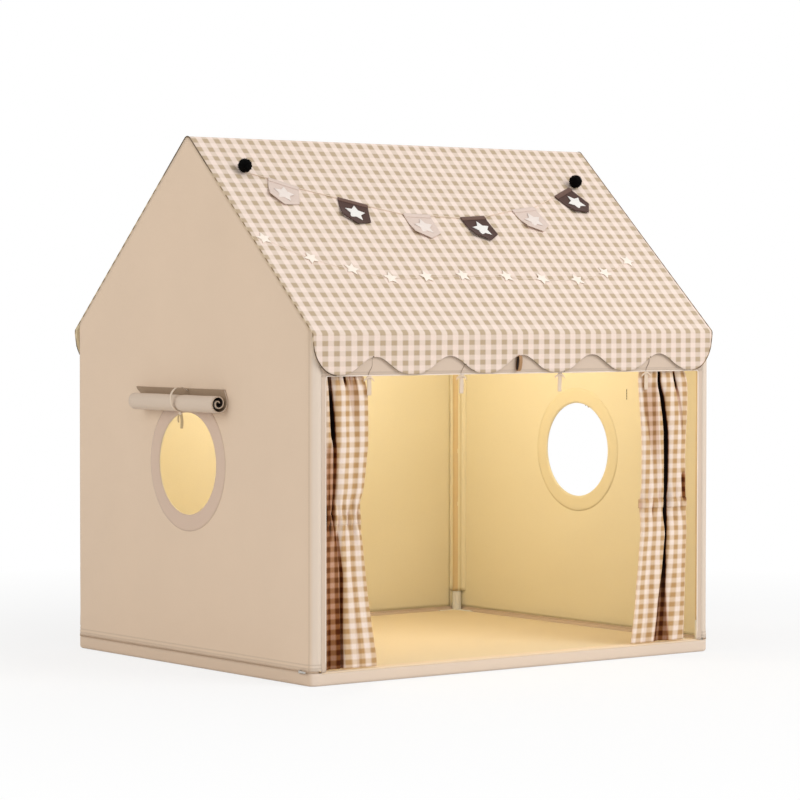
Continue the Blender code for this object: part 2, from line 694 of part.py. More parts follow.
def build_slider():
    """The zip slider on the left wall, with two lugs and an upright pin that carry the pull tab."""
    metal = material("nickel", NICKEL, 0.3, 1.0)
    face = -(HALF_W + ZIP_COIL_PROUD + FIT)
    middle = ZIP_Z + ZIP_H / 2
    start = -(HALF_D - CORNER_R) + SLIDER_START
    runner = add_pivot("zip_runner", (face, start, middle))
    profile = [(0, -SLIDER_H / 4), (SLIDER_LENGTH / 2, -SLIDER_H / 2), (SLIDER_LENGTH, -SLIDER_H / 3)]
    profile += [(y, -z) for y, z in reversed(profile)]
    place = lambda u, v, out: (face - out, start + u, middle + v)
    body = prism("zip_slider", profile, 0, SLIDER_T, place, metal)
    pin_out = SLIDER_T + FIT + KNUCKLE_R
    pin_y = SLIDER_LENGTH / 2
    inner, outer = PULL_H / 2 + FIT, PULL_H / 2 + FIT + LUG_T
    lug = [(SLIDER_T / 2, -KNUCKLE_R), (pin_out + KNUCKLE_R, -KNUCKLE_R)]
    lug += [(u, -v) for u, v in reversed(lug)]
    standing = lambda u, v, level: (face - u, start + pin_y + v, middle + level)
    for low, high in ((inner, outer), (-outer, -inner)):
        boolean(body, prism("lug", lug, low, high, standing), "UNION")
    reach = (inner + outer) / 2
    pin = (face - pin_out, start + pin_y, middle)
    shaft = [(-reach, PIN_R), (reach, PIN_R)]
    boolean(body, turned("pin", pin, (0, 0, 1), shaft, sides=PIN_SIDES), "UNION")
    body.data.transform(Matrix.Translation(-runner.location))
    body.parent = runner

    hinge = add_pivot("pull_hinge", Vector(pin) - runner.location)
    hinge.parent = runner
    half, thick = PULL_H / 2, PULL_T / 2
    low, high = Vector(pin) - Vector((0, 0, half)), Vector(pin) + Vector((0, 0, half))
    eye = tube("zip_pull", low, high, KNUCKLE_R, PIN_R + FIT, metal, PIN_SIDES)
    taper = (PULL_LENGTH - PULL_H, half), (PULL_LENGTH, half / 2)
    outline = [(KNUCKLE_R - PULL_T / 2, half)] + list(taper)
    outline += [(u, -v) for u, v in reversed(outline)]
    flat = lambda u, v, level: (pin[0] + level, pin[1] - u, pin[2] + v)
    boolean(eye, prism("tab", outline, -thick, thick, flat), "UNION")
    eye.data.transform(Matrix.Translation(-Vector(pin)))
    eye.parent = hinge


def build_window_roll(side, sx):
    """A window cover rolled up on the outer face: a flap from its seam, wound into a spiral.

    In section, u is the distance out from the wall and v the height. The flap comes down behind
    the roll, turns under it and winds inwards.
    """
    radius = ROLL_R - ROLL_CLOTH / 2
    seam = (FIT + ROLL_CLOTH / 2, ROLL_Z + FLAP_RISE)
    spiral = []
    for i in range(int(ROLL_TURNS * SPIRAL_STEPS) + 1):
        turn = i / SPIRAL_STEPS
        r = radius - ROLL_PITCH * turn
        angle = math.pi + 2 * math.pi * turn
        spiral.append((ROLL_OUT + r * math.cos(angle), ROLL_Z + r * math.sin(angle)))
    hinge = add_pivot(f"{side}_roll_hinge", (sx * (HALF_W + FIT), 0, ROLL_Z + FLAP_RISE))
    place = lambda u, v, level: (sx * (HALF_W + u), level, v)
    cloth = material("beige_cloth", BEIGE, 0.9)
    half = ROLL_LENGTH / 2
    path = [seam] + spiral
    smooth(strip(f"{side}_window_roll", path, ROLL_CLOTH, -half, half, place, cloth, parent=hinge))

    end = math.radians(TIE_END_TURN)
    loop = arc((ROLL_OUT, TIE_Z), TIE_R + TIE_T / 2, TIE_TOP_TURN, end, TIE_STEPS)
    low, high = TIE_Y - TIE_W / 2, TIE_Y + TIE_W / 2
    tie = strip(f"{side}_roll_tie", loop, TIE_T, low, high, place, material("pale_cloth", PALE, 0.9))
    knot_z = TIE_Z - TIE_R - TIE_T / 2 - KNOT_R
    start = math.radians(KNOT_TURN)
    bead = arc((ROLL_OUT, knot_z), KNOT_R, start, start + 2 * math.pi, KNOT_SIDES)[:-1]
    boolean(tie, prism("knot", bead, low + TIE_T, high - TIE_T, place), "UNION")
    for shift in (-1, 1):
        y = TIE_Y + shift * (TAIL_W / 2 + FIT)
        path = [(ROLL_OUT, knot_z), (ROLL_OUT + shift * TAIL_SPREAD, knot_z - TAIL_LENGTH)]
        tail = strip("tail", path, TIE_T, y - TAIL_W / 2, y + TAIL_W / 2, place)
        boolean(tie, tail, "UNION")
    smooth(tie)
    tie.data.transform(Matrix.Translation(-hinge.location))
    tie.parent = hinge


def curtain_edges(z, shares):
    """The curtain's outer and inner edge at a height, which runs straight behind its tie-back."""
    levels = (CURTAIN_BOTTOM_Z, TIE_BACK_Z - TIE_BACK_H / 2, TIE_BACK_Z + TIE_BACK_H / 2, CURTAIN_TOP_Z)
    bottom, waist, top = shares
    rows = list(zip(levels, (bottom, waist, waist, top)))
    for (low, below), (high, above) in zip(rows, rows[1:]):
        if z <= high:
            t = (z - low) / (high - low)
            ease = t * t * (3 - 2 * t)
            return [DOOR_X * (below[k] + (above[k] - below[k]) * ease) for k in (0, 1)]
    return [DOOR_X * share for share in top]


# The curtains' outer and inner edge, as shares of half the door, at the foot, the waist and the top
LEFT_CURTAIN_SHARES = ((0.990, 0.732), (0.978, 0.812), (0.990, 0.786))
RIGHT_CURTAIN_SHARES = ((0.984, 0.632), (0.952, 0.689), (0.956, 0.671))


def build_curtain(side, sx, shares):
    """A gathered curtain: pleats that deepen below the rod, and a casing round the rod."""
    slide = add_pivot(f"{side}_curtain_slide", (sx * DOOR_X, -POST_Y, ROD_Z))
    columns = PLEATS * PLEAT_STEPS
    front = -HALF_D + CLOTH + FIT + CURTAIN_CLOTH / 2
    levels = []
    bands = (CURTAIN_BOTTOM_Z, TIE_BACK_Z - TIE_BACK_H / 2, TIE_BACK_Z + TIE_BACK_H / 2, CURTAIN_TOP_Z)
    for low, high, steps in zip(bands, bands[1:], (CURTAIN_ROWS, 1, CURTAIN_ROWS)):
        levels += [low + (high - low) * i / steps for i in range(steps)]
    levels.append(CURTAIN_TOP_Z)
    vertices = []
    for z in levels:
        outer, inner = curtain_edges(z, shares)
        opening = min(1.0, (CURTAIN_TOP_Z - z) / GATHER_DROP)
        depth = GATHER_DEPTH + (PLEAT_DEPTH - GATHER_DEPTH) * opening
        middle = -POST_Y + (front + PLEAT_DEPTH + POST_Y) * opening
        for side_y in (-1, 1):
            for i in range(columns + 1):
                u = i / columns
                fold = math.sin(2 * math.pi * PLEATS * u) * math.sqrt(abs(math.sin(math.pi * u)))
                y = middle + depth * fold + side_y * CURTAIN_CLOTH / 2
                vertices.append((sx * (outer + (inner - outer) * u), y, z))
    wide = columns + 1
    last = len(levels) - 1
    faces = []
    for row in range(last):
        a, b = row * 2 * wide, (row + 1) * 2 * wide
        for i in range(columns):
            faces.append((a + i, a + i + 1, b + i + 1, b + i))
            faces.append((a + wide + i, b + wide + i, b + wide + i + 1, a + wide + i + 1))
        for i in (0, columns):
            faces.append((a + i, b + i, b + wide + i, a + wide + i))
    for row in (0, last):
        a = row * 2 * wide
        for i in range(columns):
            faces.append((a + i, a + wide + i, a + wide + i + 1, a + i + 1))
    cloth = material("curtain_gingham", GINGHAM, 0.9)
    curtain = outward(add_object(f"{side}_curtain", vertices, faces, cloth))
    outer, inner = curtain_edges(CURTAIN_TOP_Z, shares)
    casing_ends = (sx * (outer - FIT), -POST_Y, ROD_Z), (sx * (inner + FIT), -POST_Y, ROD_Z)
    boolean(curtain, tube("casing", *casing_ends, CASING_R, ROD_R + FIT, None), "UNION")
    smooth(curtain)
    curtain.data.transform(Matrix.Translation(-slide.location))
    curtain.parent = slide
    build_tie_back(side, sx, shares, front + PLEAT_DEPTH, slide)


def build_tie_back(side, sx, shares, middle, slide):
    """The band that gathers a curtain: a flat ring with rounded corners, clear of the pleats."""
    outer, inner = curtain_edges(TIE_BACK_Z, shares)
    around = FIT + TIE_BACK_T / 2
    half_x = (outer - inner) / 2 + around
    half_y = PLEAT_DEPTH + CURTAIN_CLOTH / 2 + around
    centre_x = sx * (outer + inner) / 2
    outline = rounded_rectangle(half_x, half_y, half_y / 3, CORNER_STEPS // 2)
    path = [(centre_x + x, middle + y) for x, y in outline]
    low, high = TIE_BACK_Z - TIE_BACK_H / 2, TIE_BACK_Z + TIE_BACK_H / 2
    cloth = material("curtain_gingham", GINGHAM, 0.9)
    smooth(strip(f"{side}_tie_back", path, TIE_BACK_T, low, high, upright, cloth, True, slide))


def build_curtain_rod():
    """The tension rod behind the header, which reaches from one post's tunnel to the other's."""
    reach = POST_X - BORE_R - CLOTH - FIT
    ends = (-reach, -POST_Y, ROD_Z), (reach, -POST_Y, ROD_Z)
    metal = material("rod_white", POLE_WHITE, 0.3)
    tube("curtain_rod", *ends, ROD_R, ROD_R - ROD_WALL, metal)


def build_header_trim():
    """Ribbons that hang into the doorway from one tape on the header, and the strap loop there."""
    front = -HALF_D - FIT
    pale = material("pale_cloth", PALE, 0.9)
    tape_z, end_z = DOOR_HEAD_Z + TAPE_RISE, DOOR_HEAD_Z - RIBBON_HANG
    ribbons = [DOOR_X * share for share in RIBBON_X_SHARES]
    outline = []
    for x in ribbons:
        left, right = x - RIBBON_W / 2, x + RIBBON_W / 2
        outline += [(left, tape_z), (left, end_z), (right, end_z), (right, tape_z)]
    outline += [(ribbons[-1] + RIBBON_W, tape_z), (ribbons[-1] + RIBBON_W, tape_z + TAPE_H)]
    outline += [(ribbons[0] - RIBBON_W, tape_z + TAPE_H), (ribbons[0] - RIBBON_W, tape_z)]
    prism("header_ribbons", outline, front - RIBBON_T, front, facing, pale)

    leather = material("brown_leather", BROWN, 0.55)
    middle, half = DOOR_HEAD_Z + STRAP_LIFT + STRAP_LENGTH / 2, STRAP_LENGTH / 2
    reach = STRAP_BULGE / 2
    centre_y = front - STRAP_T / 2 - reach
    turns = [2 * math.pi * i / TIE_STEPS for i in range(TIE_STEPS)]
    path = [(centre_y + reach * math.cos(a), middle + half * math.sin(a)) for a in turns]
    smooth(strip("strap_loop", path, STRAP_T, -STRAP_W / 2, STRAP_W / 2, endwise, leather, True))


def garland_s(x):
    """How far down the slope the garland's cord hangs at x."""
    away = x - GARLAND_VERTEX_SHARE * HALF_W
    return GARLAND_SAG_SHARE * SLOPE - GARLAND_CURVE_SHARE / WIDTH * away * away


def cord_solid(name, route, radius, finish):
    """A round cord along a route of points, capped at both ends."""
    vertices, faces = [], []
    count = len(route)
    for i, point in enumerate(route):
        along = Vector(route[min(i + 1, count - 1)]) - Vector(route[max(i - 1, 0)])
        across = Vector((0, -math.sin(ROOF_PITCH), math.cos(ROOF_PITCH)))
        second = along.cross(across).normalized()
        for k in range(CORD_SIDES):
            a = 2 * math.pi * (k + 1 / 2) / CORD_SIDES
            vertices.append(Vector(point) + radius * (across * math.cos(a) + second * math.sin(a)))
    for i in range(count - 1):
        a, b = i * CORD_SIDES, (i + 1) * CORD_SIDES
        for k in range(CORD_SIDES):
            j = (k + 1) % CORD_SIDES
            faces.append((a + k, a + j, b + j, b + k))
    last = (count - 1) * CORD_SIDES
    faces += [tuple(range(CORD_SIDES)), tuple(range(last, last + CORD_SIDES))]
    return outward(add_object(name, vertices, faces, finish))


def build_garland():
    """A cord that hangs in a swag with a pompom at each end, and six pennants below it."""
    lift = FIT + CORD_R
    left, right = [share * HALF_W for share in POMPOM_X_SHARES]
    xs = [left + (right - left) * i / CORD_STEPS for i in range(CORD_STEPS + 1)]
    route = [front_slope(x, garland_s(x), lift) for x in xs]
    garland = cord_solid("garland_cord", route, CORD_R, material("black_wool", BLACK, 1.0))
    for x in (left, right):
        centre = front_slope(x, garland_s(x), FIT + POMPOM_R)
        pompom = turned("pompom", centre, (0, 1, 0), ball_profile(POMPOM_R), twist=FACET_TWIST)
        boolean(garland, pompom, "UNION")
    smooth(garland)

    half, straight = PENNANT_W / 2, PENNANT_H * PENNANT_STRAIGHT_SHARE
    outline = [(-half, 0), (half, 0), (half, straight), (0, PENNANT_H), (-half, straight)]
    felts = material("pale_felt", PALE, 0.95), material("brown_felt", FELT_BROWN, 0.95)
    for i, share in enumerate(PENNANT_X_SHARES):
        x = share * HALF_W
        tilt = math.atan2(garland_s(x + half) - garland_s(x - half), PENNANT_W)
        clear = CORD_R + FIT + half * half * GARLAND_CURVE_SHARE / WIDTH
        turn = Matrix.Rotation(tilt, 2)

        def place(u, v, level, x=x, turn=turn, clear=clear):
            spot = turn @ Vector((u, v + clear))
            return front_slope(x + spot.x, garland_s(x) + spot.y, level)

        prism(f"pennant_{i + 1}", outline, FIT, FIT + PENNANT_T, place, felts[i % 2])


def star_place(t):
    """The place x, s on the slope at t along the row of star lights, which runs from -1 to 1."""
    first, last = [share * HALF_W for share in STAR_END_SHARES]
    x = (first + last) / 2 + (last - first) / 2 * t
    rise = STAR_RISE_SHARES[0] if t < 0 else STAR_RISE_SHARES[1]
    return x, SLOPE * (STAR_ROW_SHARE - rise * abs(t) ** STAR_ROW_POWER)


def build_stars():
    """Star lights threaded on one wire across the front slope, which rises towards both ends."""
    gaps = STARS - 1
    steps = gaps * WIRE_STEPS
    spots = [star_place(2 * i / steps - 1) for i in range(steps + 1)]
    route = [front_slope(x, s, FIT + WIRE_R) for x, s in spots]
    lights = cord_solid("star_lights", route, WIRE_R, material("star_plastic", STAR_WHITE, 0.4))
    outline = []
    for k in range(2 * STAR_POINTS):
        radius = STAR_R * (STAR_INNER_SHARE if k % 2 else 1)
        angle = math.pi * k / STAR_POINTS
        outline.append((radius * math.sin(angle), -radius * math.cos(angle)))
    for i in range(STARS):
        x, s = star_place(2 * i / gaps - 1)
        place = lambda u, v, level, x=x, s=s: front_slope(x + u, s + v, level)
        boolean(lights, prism("star", outline, FIT / 2, FIT / 2 + STAR_T, place), "UNION")
    smooth(lights)


def main():
    clear_scene()
    build_frame()
    build_walls()
    build_roof()
    build_base()
    for side, sx in (("left", -1), ("right", 1)):
        build_window_roll(side, sx)
    build_curtain_rod()
    build_curtain("left", -1, LEFT_CURTAIN_SHARES)
    build_curtain("right", 1, RIGHT_CURTAIN_SHARES)
    build_header_trim()
    build_garland()
    build_stars()


main()
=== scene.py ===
"""Dresses the kids play tent: sewn cloth walls, a check roof, gathered curtains, padding and trim.

Metres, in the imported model's frame: +Z up, the ridge along X, the door facing -Y. Every cloth piece
is a function of two parameters on a grid, and gets its thickness from a Solidify modifier.
"""

import math

import bmesh
import bpy
import numpy as np
from mathutils import Matrix, Vector


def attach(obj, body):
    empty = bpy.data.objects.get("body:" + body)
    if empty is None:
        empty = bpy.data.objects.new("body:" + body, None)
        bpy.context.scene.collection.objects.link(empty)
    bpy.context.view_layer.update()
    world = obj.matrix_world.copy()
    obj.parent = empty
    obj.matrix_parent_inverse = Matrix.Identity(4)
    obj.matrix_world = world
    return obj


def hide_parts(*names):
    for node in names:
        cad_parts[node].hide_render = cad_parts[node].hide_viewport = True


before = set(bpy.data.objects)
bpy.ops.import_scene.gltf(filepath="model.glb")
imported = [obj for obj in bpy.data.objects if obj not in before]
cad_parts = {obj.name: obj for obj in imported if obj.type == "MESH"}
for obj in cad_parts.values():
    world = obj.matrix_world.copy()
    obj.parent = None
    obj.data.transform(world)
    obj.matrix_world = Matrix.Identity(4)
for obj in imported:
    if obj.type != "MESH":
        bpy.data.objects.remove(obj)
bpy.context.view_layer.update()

# Sizes of the tent that its cloth follows
HALF_W, HALF_D = 0.605, 0.500
CLOTH, FIT = 0.002, 0.0003
POST_X, POST_Y = 0.588323, 0.483323
EAVE_Z, RIDGE_Z = 0.7905, 1.2347
PITCH = math.atan2(RIDGE_Z - EAVE_Z, POST_Y)
HUB_R, CORNER_R = 0.0130, 0.020
BAND_TOP, ZIP_MIDDLE, WALL_FOOT = 0.0293, 0.0319, 0.0344
SEAM_X, DOOR_X, HEAD_Z = 0.577523, 0.564723, 0.695
VALANCE_Y, VALANCE_Z, FOLD_R = 0.504, 0.696, 0.008
ROOF_TOP = RIDGE_Z + (HUB_R + FIT + CLOTH) / math.cos(PITCH)
WALL_END = HALF_D - CORNER_R + CORNER_R * math.pi / 2 + HALF_W - CORNER_R - SEAM_X
SCALLOP_PITCH = 2 * HALF_W / 5.628
WINDOW_R, WINDOW_Z, FACING_W = 0.121, 0.480, 0.039
ROLL_OUT, ROLL_Z, ROLL_R, ROLL_PITCH, ROLL_TURNS = 0.0255, 0.6260, 0.0233, 0.0104, 1.95
TIE_Y, TIE_Z, TIE_R, KNOT_R = 0.0105, 0.6322, 0.0284, 0.0042
ROD_Z, CURTAIN_FOOT, CURTAIN_HEAD, WAIST_Z = 0.713, 0.0339, 0.7067, 0.3711
CURTAIN_Y, CURTAIN_DEPTH, FOLD_DEPTH, TIE_BACK_HALF = -0.4938, (-0.4962, -0.4592), 0.0190, 0.0104
CHECK_X, CHECK_SLOPE, CHECK_DROP = 0.03225, 0.0315, 0.0230
FOOT_SEAMS, SIDE_SEAM = (0.0405, 0.0482), 0.4885


def linear(red, green, blue):
    """A colour from display values of 0 to 255, made linear: ((v + 0.055) / 1.055) to the power 2.4."""
    values = [v / 255 for v in (red, green, blue)]
    return tuple(v / 12.92 if v <= 0.04045 else ((v + 0.055) / 1.055) ** 2.4 for v in values)


class Finish:
    """A material in the making. Each method adds one node and gives back the socket it puts out."""

    def __init__(self, name, roughness=0.9, metallic=0.0, sheen=0.0, coat=0.0):
        self.material = bpy.data.materials.new(name)
        self.material.use_nodes = True
        self.nodes, self.links = self.material.node_tree.nodes, self.material.node_tree.links
        self.shader = self.nodes["Principled BSDF"]
        for socket, value in (
            ("Roughness", roughness),
            ("Metallic", metallic),
            ("Sheen Weight", sheen),
            ("Coat Weight", coat),
        ):
            self.shader.inputs[socket].default_value = value

    def step(self, kind, inputs=(), out=0, **settings):
        """Adds a node, sets it up and feeds its inputs by position or name."""
        made = self.nodes.new(kind)
        for key, value in settings.items():
            setattr(made, key, value)
        for key, value in dict(inputs).items():
            if isinstance(value, bpy.types.NodeSocket):
                self.links.new(value, made.inputs[key])
            else:
                made.inputs[key].default_value = value
        return made.outputs[out]

    def sum(self, operation, first, second=0.5, third=0.5):
        """One arithmetic step."""
        return self.step("ShaderNodeMath", {0: first, 1: second, 2: third}, operation=operation)

    def cloth_place(self):
        """The place on the flat cloth, in metres, as (across, along)."""
        across, along, _ = self.split(self.step("ShaderNodeUVMap", uv_map="cloth"))
        return across, along

    def object_place(self):
        """The place in the model, in metres."""
        return self.step("ShaderNodeTexCoord", out=3)

    def split(self, place):
        """A place's three coordinates."""
        parts = self.nodes.new("ShaderNodeSeparateXYZ")
        self.links.new(place, parts.inputs[0])
        return parts.outputs

    def mottle(self, place, scale, detail=3.0, roughness=0.55):
        """Soft cloudy noise from 0 to 1, scale being its spots to the metre."""
        inputs = {"Vector": place, "Scale": scale, "Detail": detail, "Roughness": roughness}
        return self.step("ShaderNodeTexNoise", inputs)

    def blend(self, factor, first, second, mode="MIX"):
        """A colour between two colours, or the two multiplied with mode MULTIPLY."""
        made = self.nodes.new("ShaderNodeMix")
        made.data_type, made.blend_type, made.clamp_result = "RGBA", mode, True
        for socket, value in ((made.inputs[0], factor), (made.inputs[6], first), (made.inputs[7], second)):
            if isinstance(value, bpy.types.NodeSocket):
                self.links.new(value, socket)
            elif socket == made.inputs[0]:
                socket.default_value = value
            else:
                socket.default_value = (*value, 1.0)
        return made.outputs[2]

    def spread(self, value, low, high, into_low, into_high):
        """Maps low to high onto another range, held at its ends."""
        inputs = {0: value, 1: low, 2: high, 3: into_low, 4: into_high}
        return self.step("ShaderNodeMapRange", inputs, clamp=True)

    def stripe(self, place, period, soft=0.10, shift=0.0):
        """1 on every other band of half a period, 0 between, with edges as soft as yarn."""
        turns = self.sum("DIVIDE", place, period)
        turns = self.sum("ADD", turns, shift)
        wave = self.sum("PINGPONG", turns, 0.5)
        return self.spread(wave, 0.25 - soft / 2, 0.25 + soft / 2, 0.0, 1.0)

    def weave(self, across, along, yarn):
        """Plain weave: the product of two sine waves one yarn long, raised to 0 to 1."""
        turn = 2 * math.pi / yarn
        waves = [self.sum("SINE", self.sum("MULTIPLY", way, turn)) for way in (across, along)]
        return self.sum("MULTIPLY_ADD", self.sum("MULTIPLY", *waves), 0.5, 0.5)

    def stitches(self, across, along, line, pitch=0.0036, thick=0.0006):
        """A row of stitches along a line of the cloth: 1 on each stitch and 0 between."""
        near = self.sum("ABSOLUTE", self.sum("SUBTRACT", across, line))
        near = self.spread(near, thick * 0.6, thick * 1.4, 1.0, 0.0)
        dash = self.stripe(along, pitch, 0.12)
        return self.sum("MULTIPLY", near, dash)

    def relief(self, height, depth, strength=1.0):
        """Feeds a height map to the shader's normal."""
        inputs = {"Strength": strength, "Distance": depth, "Height": height}
        self.links.new(self.step("ShaderNodeBump", inputs), self.shader.inputs["Normal"])

    def paint(self, colour):
        """Sets the colour, from a socket or three numbers."""
        if isinstance(colour, bpy.types.NodeSocket):
            self.links.new(colour, self.shader.inputs["Base Color"])
        else:
            self.shader.inputs["Base Color"].default_value = (*colour, 1.0)
        return self.material


def plain_cloth(name, colour, seams=(), across_seams=(), yarn=0.0011, sheen=0.12, cloud=0.035, front=None):
    """Brushed plain cloth with faint clouds of tone, a weave, and rows of stitches along a dent with painted
    shade in it.

    A front colour is painted light: the strip that turns round the corner to the door side is blended to it,
    lighter, for the door side's brighter light.
    """
    cloth = Finish(name, roughness=0.92, sheen=sheen)
    across, along = cloth.cloth_place()
    place = cloth.object_place()
    tone = cloth.mottle(place, 5.0)
    grain = cloth.mottle(place, 420.0, 2.0)
    colour_low = tuple(c * (1 - cloud) for c in colour)
    colour_high = tuple(min(1.0, c * (1 + cloud)) for c in colour)
    mixed = cloth.blend(tone, colour_low, colour_high)
    mixed = cloth.blend(cloth.spread(grain, 0.3, 0.7, 0.0, 0.12), mixed, tuple(c * 0.8 for c in colour))
    if front:
        # Painted light on the door side: full within 3.5 mm of the front, gone 10.5 mm behind it.
        door_side_painted_light = cloth.spread(cloth.split(place)[1], 0.0035 - HALF_D, 0.0105 - HALF_D, 1.0, 0.0)
        mixed = cloth.blend(door_side_painted_light, mixed, front)
    height = cloth.sum("MULTIPLY", cloth.weave(across, along, yarn), 0.25)
    rows = [(line, along, across) for line in seams] + [(line, across, along) for line in across_seams]
    for line, way, other in rows:
        thread = cloth.stitches(way, other, line)
        dent = cloth.sum("ABSOLUTE", cloth.sum("SUBTRACT", way, line))
        dent = cloth.spread(dent, 0.0, 0.0022, 1.0, 0.0)
        # Painted shade in each seam's dent: up to 45 % of the way to a darker copy of the colour.
        mixed = cloth.blend(cloth.sum("MULTIPLY", dent, 0.45), mixed, tuple(c * 0.55 for c in colour))
        mixed = cloth.blend(cloth.sum("MULTIPLY", thread, 0.5), mixed, tuple(c * 1.08 for c in colour))
        height = cloth.sum("SUBTRACT", height, dent)
        height = cloth.sum("ADD", height, thread)
    cloth.relief(height, 0.0006, 0.6)
    return cloth.paint(mixed)


def check_cloth(name, colours, periods, shifts, soft=0.10, hems=(), valance_shade=0.0, folds=False):
    """Woven check: warp and weft stripes of half a period, dark where two coloured stripes cross.

    The colours are the ground, a weft stripe, a warp stripe and their crossing. With a hung edge share,
    the cloth below the fold is painted that share nearer to brown, as shade on the hanging valance. With folds,
    the cloth's fold attribute paints shade on it: warm brown up to 0.6, near black at 1.
    """
    cloth = Finish(name, roughness=0.9, sheen=0.0 if folds else 0.10)
    across, along = cloth.cloth_place()
    warp = cloth.stripe(across, periods[0], soft, shifts[0])
    weft = cloth.stripe(along, periods[1], soft, shifts[1])
    place = cloth.object_place()
    white, pale, tan, dark = colours
    tone = cloth.mottle(place, 26.0, 2.0)
    ground = cloth.blend(tone, white, tuple(c * f for c, f in zip(white, (1.0, 0.96, 0.94))))
    mixed = cloth.blend(weft, ground, pale)
    mixed = cloth.blend(warp, mixed, cloth.blend(weft, tan, dark))
    slub = cloth.mottle(place, 300.0, 2.0)
    mixed = cloth.blend(cloth.spread(slub, 0.35, 0.75, 0.0, 0.14), mixed, tuple(c * 0.85 for c in tan))
    # Painted shade on the upright valance below the roof's fold.
    if valance_shade:
        below = cloth.spread(along, -0.003, 0.003, valance_shade, 0.0)
        mixed = cloth.blend(below, mixed, linear(150, 108, 72))
    # Painted shade in the folds: the colour times itself, then a warm tint, then near black.
    if folds:
        fold_shade = cloth.step("ShaderNodeAttribute", attribute_name="fold", out=2)
        square = cloth.blend(1.0, mixed, mixed, "MULTIPLY")
        for low, high, shade in ((0.3, 0.7, square), (0.0, 0.6, FOLD_SHADE_TINT), (0.6, 0.97, FOLD_SHADE_DARK)):
            mixed = cloth.blend(cloth.spread(fold_shade, low, high, 0.0, 1.0), mixed, shade, "MULTIPLY")
        cloth.shader.inputs["Specular IOR Level"].default_value = 0.12
    height = cloth.sum("MULTIPLY", cloth.weave(across, along, 0.0011), 0.25)
    for line in hems:
        height = cloth.sum("ADD", height, cloth.stitches(along, across, line))
    cloth.relief(height, 0.0005, 0.5)
    return cloth.paint(mixed)


def roof_edge_shade():
    """The roof's cut edge: dark brown painted shade on the scallops and by the ridge, for the edge's thickness
    in shade; check-coloured on the gables.
    """
    cloth = Finish("roof_edge_shade", roughness=0.9)
    x, _, z = cloth.split(cloth.object_place())
    gable = cloth.spread(cloth.sum("ABSOLUTE", x), HALF_W - 0.003, HALF_W - 0.001, 0.0, 1.0)
    gable = cloth.sum("MULTIPLY", gable, cloth.spread(z, 1.150, 1.175, 1.0, 0.15))
    rows = cloth.stripe(z, 0.021, 0.2)
    edge = cloth.blend(rows, linear(206, 186, 156), linear(142, 118, 86))
    cloth.relief(cloth.mottle(cloth.object_place(), 900.0, 2.0), 0.0004, 0.4)
    return cloth.paint(cloth.blend(gable, linear(78, 60, 42), edge))


def gable_edging():
    """The piping on the gable edges: brown, darker where the check's rows end."""
    cloth = Finish("gable_piping", roughness=0.9)
    rows = cloth.stripe(cloth.split(cloth.object_place())[2], 0.021, 0.3)
    cloth.relief(cloth.mottle(cloth.object_place(), 900.0, 2.0), 0.0003, 0.4)
    return cloth.paint(cloth.blend(rows, linear(168, 142, 110), linear(104, 80, 58)))


def window_cover_painted_shade():
    """The cover's other side, painted shade: brown on the flap, for the shade between the roll and the wall,
    and near black from where the cloth starts to roll, for the shade inside the spiral.
    """
    cloth = Finish("window_cover_painted_shade", roughness=0.95)
    across, along = cloth.cloth_place()
    # Painted shade inside the spiral, from 35 to 75 mm along the cloth.
    roll_shade = cloth.spread(along, 0.035, 0.075, 0.0, 1.0)
    grain = cloth.mottle(cloth.object_place(), 420.0, 2.0)
    flap = cloth.blend(grain, linear(146, 122, 98), linear(166, 142, 116))
    cloth.relief(cloth.weave(across, along, 0.0011), 0.0003, 0.5)
    return cloth.paint(cloth.blend(roll_shade, flap, linear(46, 34, 26)))


def felt(name, colour, sheen=0.25, shine=0.5):
    """Felt: fine matted fibres in two tones."""
    cloth = Finish(name, roughness=0.95, sheen=sheen)
    cloth.shader.inputs["Specular IOR Level"].default_value = shine
    place = cloth.object_place()
    fibres = cloth.mottle(place, 900.0, 4.0, 0.7)
    low, high = (tuple(min(1.0, c * share) for c in colour) for share in (0.80, 1.18))
    mixed = cloth.blend(fibres, low, high)
    cloth.relief(fibres, 0.0006, 0.5)
    return cloth.paint(mixed)


def hard(name, colour, roughness, metallic=0.0, coat=0.0, grain=0.03, scale=60.0):
    """Moulded plastic, coated tube or plated metal, with a faint change of gloss and grain."""
    made = Finish(name, roughness=roughness, metallic=metallic, coat=coat)
    place = made.object_place()
    cloud = made.mottle(place, scale, 3.0)
    gloss = made.spread(cloud, 0.3, 0.7, roughness - grain, roughness + grain)
    made.links.new(gloss, made.shader.inputs["Roughness"])
    made.relief(made.mottle(place, scale * 20, 2.0), 0.0001, 0.15)
    tone = made.blend(cloud, tuple(c * 0.97 for c in colour), colour)
    return made.paint(tone)


# Colours, and the painted shade that a deep fold multiplies them by
BEIGE = linear(220, 196, 171)
FOLD_SHADE_TINT, FOLD_SHADE_DARK = (0.69, 0.60, 0.54), (0.020, 0.012, 0.009)
# The front colours of the wall and base cloth are painted light on their door side.
wall_cloth = plain_cloth(
    "beige_wall_cloth", BEIGE, FOOT_SEAMS, across_seams=(-SIDE_SEAM, SIDE_SEAM), front=linear(225, 208, 191)
)
header_cloth = plain_cloth("beige_header_cloth", linear(213, 192, 173), seams=(HEAD_Z + 0.007,))
back_cloth = plain_cloth("beige_back_cloth", BEIGE, FOOT_SEAMS)
base_cloth = plain_cloth("beige_base_cloth", linear(214, 190, 166), front=linear(228, 209, 191))
sill_cloth = plain_cloth("sill_cloth", linear(232, 209, 181))
lining = plain_cloth("straw_lining", linear(235, 223, 190), sheen=0.05, cloud=0.02)
lining_facing = plain_cloth("straw_lining_facing", linear(231, 218, 182), sheen=0.05, cloud=0.02)
